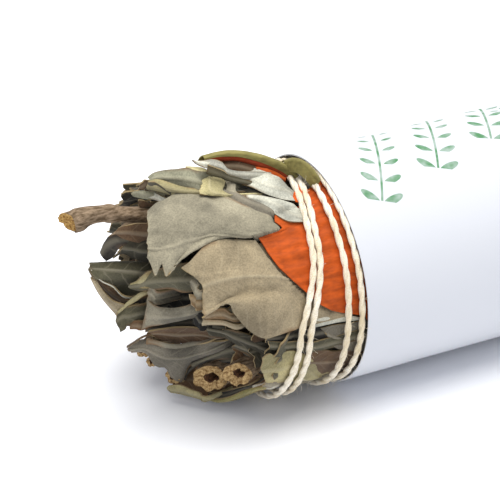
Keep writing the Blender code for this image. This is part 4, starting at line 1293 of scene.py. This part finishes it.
def packed_heart():
    plug = ringed_bar(48, 40)
    caps = [face for face in plug.faces if len(face.verts) > 4]
    for _ in range(6):
        for cap in caps:
            bmesh.ops.inset_individual(plug, faces=[cap], thickness=0.15)
    bmesh.ops.poke(plug, faces=caps)
    for vert in plug.verts:
        x = HEART_FROM + HEART_LENGTH * (vert.co.z + 0.5)
        reach = HEART_RADIUS - 0.35 * max(x - HEART_TAPERS_FROM, 0)
        turn = math.atan2(vert.co.y, vert.co.x)
        fold = noise.noise(Vector((math.cos(turn) * 5, math.sin(turn) * 5, x / 22)))
        point = Vector((x, vert.co.x * reach, vert.co.y * reach))
        point.y *= 1 + 0.07 * fold
        point.z *= 1 + 0.07 * fold
        if abs(vert.co.z) > 0.499:
            point.x += 2.5 * noise.noise(Vector((point.y / 2.5, point.z / 2.5, x)))
        vert.co = in_frame(point)
    heart = wood_material("shaded_inner_leaves", "#4A4234", "#241D15", 1.6, 0.4, 0.8)
    return bar_piece("packed_inner_leaves", plug, (heart,))


place_piece(packed_heart(), "dried_sage", "leafy_stem_1")

# %% [markdown]
# ## Orange petals
# The petals come from a bright flower and dried under the string, so they are ribbed where it
# squeezed them. The large one is shaped by its front margin, which was set above with the other
# things that hold the leaves in. The narrow one at the top is olive outside and orange inside.

# %% Petal material


def petal_material(name, ridge_mm):
    made, tree, shader = new_material(name, 0.7, 0.03)
    tint = add_node(tree, "Attribute", {}, attribute_name="tint")
    world = add_node(tree, "TexCoord", {}).outputs["Object"]
    drawn = add_node(tree, "Mapping", {0: world, "Scale": (0.35, 1.0, 1.0)})
    ribs = add_node(tree, "TexNoise", {"Vector": drawn, "Scale": 1 / (ridge_mm * MM), "Detail": 3.0})
    blotch = add_node(tree, "TexNoise", {"Vector": world, "Scale": 260.0, "Detail": 3.0})
    both = add_node(tree, "Math", {0: ribs, 1: blotch}, operation="ADD")
    shade = add_node(tree, "MapRange", {0: both, 1: 0.75, 2: 1.25, 3: 0.66, 4: 1.12})
    colour = add_node(
        tree, "VectorMath", {0: tint.outputs["Color"], "Scale": shade}, operation="SCALE"
    )
    tree.links.new(colour.outputs[0], shader.inputs["Base Color"])
    bump = add_node(tree, "Bump", {"Strength": 0.7, "Distance": 0.2 * MM, "Height": ribs})
    tree.links.new(bump.outputs[0], shader.inputs["Normal"])
    return made


petal_skin = petal_material("dried_orange_petal", 0.7)

# %% The petals
PETAL_HIDDEN_END = 7
PETAL_RIB = 0.13


def large_petal():
    mesh = leaf_mesh("orange_petal_1")
    first, last = PETAL_FRONT[0][0], PETAL_FRONT[-1][0]

    def where(u, v):
        angle = first + (last - first) * v
        front = front_of_petal(angle)
        x = front + (PETAL_HIDDEN_END - front) * u
        wander = 2.5 * noise.noise(Vector((x / 5, angle / 9, 3)))
        rib = PETAL_RIB * math.sin(angle * 0.95 + wander)
        rib += 0.10 * noise.noise(Vector((x / 1.6, angle / 5, 1)))
        edge = 0.45 * math.exp(-((x - front) / 1.1) ** 2)
        return flat(x, angle, PETAL_PRESSED + rib * min((x - front) / 2, 1) + edge * (x < -6))

    lay_sheet(mesh, where, 60, 84, 22, 30, "orange", 3, 0.0, 0.05)


# The narrow petal's rails and the fold over the string: pixels with millimetres along the bundle.
PETAL_INSIDE = (
    ((204, 162, -20.2), (220, 161, -17.6), (236, 161, -14.4), (252, 165, -11.6), (268, 171, -8.6),
     (284, 178, -6), (300, 189, -3.6)),
    ((204, 160, -20.5), (218, 157, -18.1), (235, 156.5, -14.9), (252, 159.5, -11.7), (268, 165, -8.7),
     (284, 173, -6), (301, 186, -3.6)),
)
PETAL_RIM = (
    (204, 158, -20.4), (218, 154, -18), (235, 152.5, -14.8), (252, 154.5, -11.6), (270, 159.5, -8.4),
    (288, 167, -5.4), (303, 180, -3.2),
)
OLIVE_FOLD = (
    ((289, 172, -5.4), (297, 173, -4.8), (304, 178, -3.8), (310, 185, -2.8), (315, 191, -2.2)),
    ((286, 165, -5.6), (295, 164, -4.8), (304, 167, -3.8), (311, 175, -2.8), (318, 185, -1.6)),
    ((284, 161, -5.4), (292, 158, -4.6), (302, 160, -3.6), (312, 168, -2.4), (320, 179, -1.2)),
)
ORANGE_SCRAP = (
    ((254, 171, -11.8), (264, 175, -10), (275, 179, -8.2), (285, 182, -6.8)),
    ((252, 166, -11.6), (265, 168, -9.6), (276, 172, -8), (286, 178, -6.6)),
)
ORANGE_PATCH = (
    ((293, 201, 20.9), (300, 203, 20.8), (308, 205, 20.6)),
    ((293, 195, 21.1), (300, 193, 21), (308, 196, 20.8)),
    ((298, 185, 21.1), (303, 187, 21), (308, 190, 20.8)),
)


def lay_petal(rails, tint, seed, along, across, torn, crinkle, petal="orange_petal_2"):
    lay_rails(
        rails, tint, seed, polar=False, along=along, across=across, torn=torn, crinkle=crinkle,
        loose=True, mesh=petal
    )


def narrow_petal():
    """Its inside faces the camera and is tinted a darker orange, painted shade, and its olive outside turns
    over to the far side.
    """
    inside = [[seen_along(*pixel) for pixel in rail] for rail in PETAL_INSIDE]
    rim = [seen_along(*pixel) for pixel in PETAL_RIM]
    over = [point + Vector((0.2, 2.2, -0.9)) for point in rim]
    under = [point + Vector((0.5, 4.2, -3.2)) for point in rim]
    # The inside's darker orange is painted shade.
    lay_petal(inside, "deep", 6, 44, 10, 0.4, 0.2)
    lay_petal((inside[-1], rim, over, under), "olive", 7, 44, 18, 0.3, 0.15)


def olive_fold():
    rails = [[seen_along(*pixel) for pixel in rail] for rail in OLIVE_FOLD]
    rails.append([point + Vector((0.3, 2.4, -1.6)) for point in rails[-1]])
    lay_petal(rails, "olive", 8, 18, 20, 0.2, 0.1)


def orange_scraps():
    scrap = [[seen_along(*pixel) for pixel in rail] for rail in ORANGE_SCRAP]
    lay_petal(scrap, "orange", 9, 20, 8, 0.9, 0.2)
    patch = [[seen_out(*pixel) for pixel in rail] for rail in ORANGE_PATCH]
    lay_petal(patch, "orange", 10, 16, 14, 0.9, 0.1, "orange_petal_1")


large_petal()
narrow_petal()
olive_fold()
orange_scraps()
for petal_name in ("orange_petal_1", "orange_petal_2"):
    petal_piece = finished_piece(petal_name + "_sheet", leaves.pop(petal_name), (petal_skin,), 0.22, 0)
    place_piece(petal_piece, "orange_petal", petal_name)
    print(petal_piece.name, len(petal_piece.data.polygons), "faces")

# %% [markdown]
# ## Cotton string
# The tie is unbleached cotton in two plies, 1.3 mm thick, wound from the cut end to the leaf
# tips and held all the way, so its route is the CAD model's. Two thin round bars that twist
# about that route read as plies from any side, and a bump could not give that outline.

# %% String route and plies
# Handled and rubbed, the front turns are fuzzy between these two angles along the string.
FUZZ_FROM, FUZZ_TO = -120, 1100
BEHIND_SLEEVE = 74.0
SLEEVE_PASS = 450
BACK_TURNS = 3
BACK_PITCH = 4.4


def string_route():
    """The string's turning places, as (angle along it, along the bundle), from end to end."""
    route = [STRING_START]
    for turn, crossings in enumerate(FRONT_TURNS):
        route += [(360 * turn + angle, x) for angle, x in zip(TURN_CROSSES, crossings)]
    behind = route[-1][0] + SLEEVE_PASS
    for half_turn in range(2 * BACK_TURNS + 1):
        route.append((behind + 180 * half_turn, BEHIND_SLEEVE + BACK_PITCH * half_turn / 2))
    return route


STRING_ROUTE = string_route()
PLY_RADIUS = 0.46
PLY_OFFSET = 0.19
PLY_PITCH = 6.5
PLY_STEP = 0.9


def string_place(angle):
    """A point on the string's middle line, in millimetres from the axis."""
    number = max(i for i, station in enumerate(STRING_ROUTE[:-1]) if station[0] <= angle)
    (a0, x0), (a1, x1) = STRING_ROUTE[number], STRING_ROUTE[number + 1]
    t = min((angle - a0) / (a1 - a0), 1)
    t = t * t * (3 - 2 * t) * 0.35 + t * 0.65
    point = flat(x0 + (x1 - x0) * t, angle, STRING_COIL)
    lowest = STRING_RADIUS + 0.1 + (SLEEVE_WALL + 0.2 if 0 < point.x < SLEEVE_LENGTH else 0)
    point.z = max(point.z, lowest - FLOOR_BELOW_AXIS)
    return point


def curve_object(name, lines, thickness, resolution):
    """Round bars along lines of points, as one mesh."""
    curve = bpy.data.curves.new(name, "CURVE")
    curve.dimensions = "3D"
    curve.bevel_depth = thickness * MM
    curve.bevel_resolution = resolution
    curve.use_fill_caps = True
    for line in lines:
        spline = curve.splines.new("POLY")
        spline.points.add(len(line) - 1)
        for point, place in zip(spline.points, line):
            point.co = (*in_frame(place), 1)
    guide = linked(name + "_guide", curve)
    graph = bpy.context.evaluated_depsgraph_get()
    data = bpy.data.meshes.new_from_object(guide.evaluated_get(graph))
    bpy.data.objects.remove(guide)
    data.name = name
    data.polygons.foreach_set("use_smooth", [True] * len(data.polygons))
    return linked(name, data)


def string_lines():
    plies = [[], []]
    travelled = 0.0
    angle = STRING_ROUTE[0][0]
    last = string_place(angle)
    while angle < STRING_ROUTE[-1][0]:
        here, ahead = string_place(angle), string_place(angle + 0.5)
        travelled += (here - last).length
        last = here
        forward = (ahead - here).normalized()
        out = Vector((0, here.y, here.z)).normalized()
        side = forward.cross(out).normalized()
        twist = 2 * math.pi * travelled / PLY_PITCH + 0.8 * noise.noise(here / 9)
        swell = 1 + 0.12 * noise.noise(here / 2.5)
        for ply, line in enumerate(plies):
            turn = twist + math.pi * ply
            line.append(here + (out * math.cos(turn) + side * math.sin(turn)) * (PLY_OFFSET * swell))
        angle += PLY_STEP
    return plies, travelled


def fuzz_lines(count):
    draws = random.Random(5)
    hairs = []
    for _ in range(count):
        root = string_place(draws.uniform(FUZZ_FROM, FUZZ_TO))
        out = Vector((0, root.y, root.z)).normalized()
        way = Vector([draws.uniform(-1, 1) for _ in range(3)]).normalized() + out * 0.8
        start = root + out * 0.45
        bend = Vector([draws.uniform(-0.4, 0.4) for _ in range(3)])
        reach = draws.uniform(0.4, 1.1)
        hair = [start, start + way * reach * 0.5, start + way * reach + bend]
        for point in hair:
            point.z = max(point.z, 0.05 - FLOOR_BELOW_AXIS)
        hairs.append(hair)
    return hairs


KNOT_LOOP = 0.5
KNOT_RADIUS = 0.55
HAIRS = 420
HAIR_RADIUS = 0.018


def knot_lines():
    """The knot at the string's end: it goes round itself once, which makes a trefoil."""
    middle = string_place(STRING_ROUTE[-1][0] - 4)
    out = Vector((0, middle.y, middle.z)).normalized()
    side = Vector((0, -out.z, out.y))
    loop = []
    for step in range(60):
        turn = 2 * math.pi * step / 59
        a = math.sin(turn) + 2 * math.sin(2 * turn)
        b = math.cos(turn) - 2 * math.cos(2 * turn)
        c = 1.2 - math.sin(3 * turn)
        loop.append(middle + (Vector((a, 0, 0)) + side * b + out * c) * KNOT_LOOP)
    return [loop]


plies, string_length = string_lines()
string_piece = curve_object("cotton_string_plies", plies, PLY_RADIUS, 1)
fuzz_piece = curve_object("cotton_string_fuzz", fuzz_lines(HAIRS), HAIR_RADIUS, 0)
knot_piece = curve_object("cotton_string_knot", knot_lines(), KNOT_RADIUS, 2)
print("String length in mm:", round(string_length), "faces:", len(string_piece.data.polygons))

# %% String material


def cotton_material(name):
    made, tree, shader = new_material(name, 0.92, 0.3)
    world = add_node(tree, "TexCoord", {}).outputs["Object"]
    fibre = add_node(tree, "TexNoise", {"Vector": world, "Scale": 5200.0, "Detail": 3.0})
    stain = add_node(tree, "TexNoise", {"Vector": world, "Scale": 160.0, "Detail": 2.0})
    both = add_node(tree, "Math", {0: fibre, 1: stain}, operation="MULTIPLY")
    spread = add_node(tree, "MapRange", {0: both, 1: 0.14, 2: 0.34})
    colour = add_node(
        tree, "Mix", {0: spread, 6: linear("#D5C5A3"), 7: linear("#F3EBDA")}, data_type="RGBA"
    ).outputs[2]
    tree.links.new(colour, shader.inputs["Base Color"])
    bump = add_node(tree, "Bump", {"Strength": 0.6, "Distance": 0.08 * MM, "Height": fibre})
    tree.links.new(bump.outputs[0], shader.inputs["Normal"])
    return made


cotton = cotton_material("unbleached_cotton")
for cotton_piece in (string_piece, fuzz_piece, knot_piece):
    cotton_piece.data.materials.clear()
    cotton_piece.data.materials.append(cotton)
    place_piece(cotton_piece, "cotton_string", "cotton_string")

# %% [markdown]
# ## Paper sleeve
# A sheet of white paper is wrapped once round the bundle and glued where it laps, on the side
# away from the reader. It is a grid bent round the axis by a formula, so the lap is a real one.
# The print is a plain pattern of green twigs, made of ovals and a line in the material.

# %% Paper material and print
# Each printed twig: along and round the sleeve in millimetres, turn in degrees, length.
PRINTED_TWIGS = (
    (8.0, 22.0, 66.0, 24.0), (22.0, 26.0, 66.0, 24.0), (36.0, 30.0, 66.0, 24.0),
    (52.0, 18.0, 108.0, 24.0), (30.0, 96.0, 24.0, 30.0),
)
TWIG_LEAF_SPACING = 4.6
TWIG_LEAF_SLANT = 52
TWIG_LEAF_SIZE = (2.3, 0.85)
STALK_HALF_WIDTH = 0.22


def printed_twig(tree, place, x, y, turn, length):
    """How much ink a printed twig puts at a place: a stalk with pairs of oval leaves."""
    start = {"Location": (x * MM, y * MM, 0), "Rotation": (0, 0, math.radians(turn))}
    moved = add_node(tree, "Mapping", {0: place, **start}, vector_type="TEXTURE")
    apart = add_node(tree, "SeparateXYZ", {0: moved})
    along, aside = apart.outputs[0], apart.outputs[1]
    sideways = add_node(tree, "Math", {0: aside}, operation="ABSOLUTE")
    cell = add_node(tree, "Math", {0: along, 1: TWIG_LEAF_SPACING * MM}, operation="FLOORED_MODULO")
    taper = add_node(tree, "MapRange", {0: along, 1: 0.0, 2: length * MM, 3: 1.0, 4: 0.45})
    spot = add_node(tree, "CombineXYZ", {0: cell, 1: sideways})
    wide = add_node(tree, "VectorMath", {0: spot, 1: (0.7 * MM, 2.2 * MM, 0)}, operation="SUBTRACT")
    long, narrow = TWIG_LEAF_SIZE
    size = {"Rotation": (0, 0, math.radians(TWIG_LEAF_SLANT)), "Scale": (long * MM, narrow * MM, 1)}
    leaf = add_node(tree, "Mapping", {0: wide, **size}, vector_type="TEXTURE")
    reach = add_node(tree, "VectorMath", {0: leaf}, operation="LENGTH").outputs["Value"]
    oval = add_node(tree, "Math", {0: reach, 1: taper}, operation="LESS_THAN")
    stalk = add_node(tree, "Math", {0: sideways, 1: STALK_HALF_WIDTH * MM}, operation="LESS_THAN")
    ink = add_node(tree, "Math", {0: oval, 1: stalk}, operation="MAXIMUM")
    after = add_node(tree, "Math", {0: along, 1: 0.0}, operation="GREATER_THAN")
    before = add_node(tree, "Math", {0: along, 1: length * MM}, operation="LESS_THAN")
    within = add_node(tree, "Math", {0: after, 1: before}, operation="MULTIPLY")
    return add_node(tree, "Math", {0: ink, 1: within}, operation="MULTIPLY")


def paper_material(name):
    made, tree, shader = new_material(name, 0.55)
    place = add_node(tree, "Attribute", {}, attribute_name="leaf_place").outputs["Vector"]
    world = add_node(tree, "TexCoord", {}).outputs["Object"]
    ink = printed_twig(tree, place, *PRINTED_TWIGS[0])
    for twig_place in PRINTED_TWIGS[1:]:
        ink = add_node(
            tree, "Math", {0: ink, 1: printed_twig(tree, place, *twig_place)}, operation="MAXIMUM"
        )
    wash = add_node(tree, "TexNoise", {"Vector": place, "Scale": 420.0, "Detail": 2.0})
    depth = add_node(tree, "MapRange", {0: wash, 1: 0.35, 2: 0.65, 3: 0.55, 4: 1.0})
    amount = add_node(tree, "Math", {0: ink, 1: depth}, operation="MULTIPLY")
    colour = add_node(
        tree, "Mix", {0: amount, 6: linear("#CCCED3"), 7: linear("#4E8358")}, data_type="RGBA"
    ).outputs[2]
    tree.links.new(colour, shader.inputs["Base Color"])
    fibre = add_node(tree, "TexNoise", {"Vector": world, "Scale": 900.0, "Detail": 4.0})
    bump = add_node(tree, "Bump", {"Strength": 0.12, "Distance": 0.05 * MM, "Height": fibre})
    tree.links.new(bump.outputs[0], shader.inputs["Normal"])
    return made


paper = paper_material("smooth_white_paper")

# %% The sleeve's sheet
LAP_AT = 206
LAP = 26
PAPER_THICKNESS = 0.24
INSIDE_CAD_SLEEVE = 0.42
LAP_RISE = 0.28


def paper_sleeve():
    mesh = leaf_mesh("paper_sleeve")
    turns = 360 + LAP

    def where(u, v):
        angle = LAP_AT + turns * v
        lapped = min(max((turns * v - 360) / 5 + 1, 0), 1)
        radius = SLEEVE_RADIUS - INSIDE_CAD_SLEEVE + LAP_RISE * lapped - 0.10 * (1 - v)
        turn = math.radians(angle)
        radius += 0.10 * noise.noise(Vector((u * 5, math.cos(turn) * 2, math.sin(turn) * 2)))
        point = flat(u * SLEEVE_LENGTH, angle, radius)
        point.z = max(point.z, 0.14 + 0.26 * (1 - lapped) * (v < 0.2) - FLOOR_BELOW_AXIS)
        return point

    width = 2 * math.pi * SLEEVE_RADIUS * turns / 360
    verts = lay_sheet(mesh, where, 46, 150, SLEEVE_LENGTH, width, "white", 1, 0.0, 0.0)
    place_layer = mesh.verts.layers.float_vector["leaf_place"]
    for vert in verts:
        round_it = (math.degrees(math.atan2(vert.co.z, -vert.co.y)) + 60) % 360
        vert[place_layer] = Vector((vert.co.x, (round_it - 60) * math.radians(SLEEVE_RADIUS), 0)) * MM
    return finished_piece("paper_sleeve_sheet", leaves.pop("paper_sleeve"), (paper,), PAPER_THICKNESS, 0)


sleeve_piece = paper_sleeve()
place_piece(sleeve_piece, "sleeve_paper", "paper_sleeve")
print(sleeve_piece.name, len(sleeve_piece.data.polygons), "faces")

# %% [markdown]
# ## Floor and light
# The photo is a product shot on white: a large soft light above, and white all round that
# fills the shadows. A plain floor, a bright world, one wide lamp straight above and a weak one
# in front do the same.

# %% Floor and lights


FLOOR_SIZE = 3.0
JUST_BELOW = 0.0002


def add_floor():
    floor = bmesh.new()
    bmesh.ops.create_grid(floor, x_segments=2, y_segments=2, size=FLOOR_SIZE)
    data = bpy.data.meshes.new("white_table")
    floor.to_mesh(data)
    floor.free()
    made, _, shader = new_material("white_table_top", 0.6)
    shader.inputs["Base Color"].default_value = linear("#F6F7FA")
    data.materials.append(made)
    piece = linked("white_table", data)
    piece.location.z = -JUST_BELOW


def add_light(name, place, size, power, colour):
    lamp = bpy.data.lights.new(name, "AREA")
    lamp.shape = "DISK"
    lamp.size = size
    lamp.energy = power
    lamp.color = linear(colour)[:3]
    light = linked(name, lamp)
    light.location = place
    light.rotation_euler = (Vector(place)).to_track_quat("Z", "Y").to_euler()


add_floor()
add_light("soft_top_light", (-0.05, -0.02, 0.80), 0.8, 8.0, "#FFFDF8")
add_light("soft_front_fill", (-0.60, -0.40, 0.45), 0.5, 0.3, "#F2F6FF")
room = bpy.data.worlds.new("white_room")
bpy.context.scene.world = room
room.use_nodes = True
room.node_tree.nodes["Background"].inputs["Color"].default_value = linear("#F4F7FF")
room.node_tree.nodes["Background"].inputs["Strength"].default_value = 0.75
bpy.context.scene.view_settings.view_transform = "Standard"

# %% [markdown]
# ## Pieces
# The dressed bundle has to stay the size of the imported one.

# %% Count the pieces
print("Pieces:", len(finished))
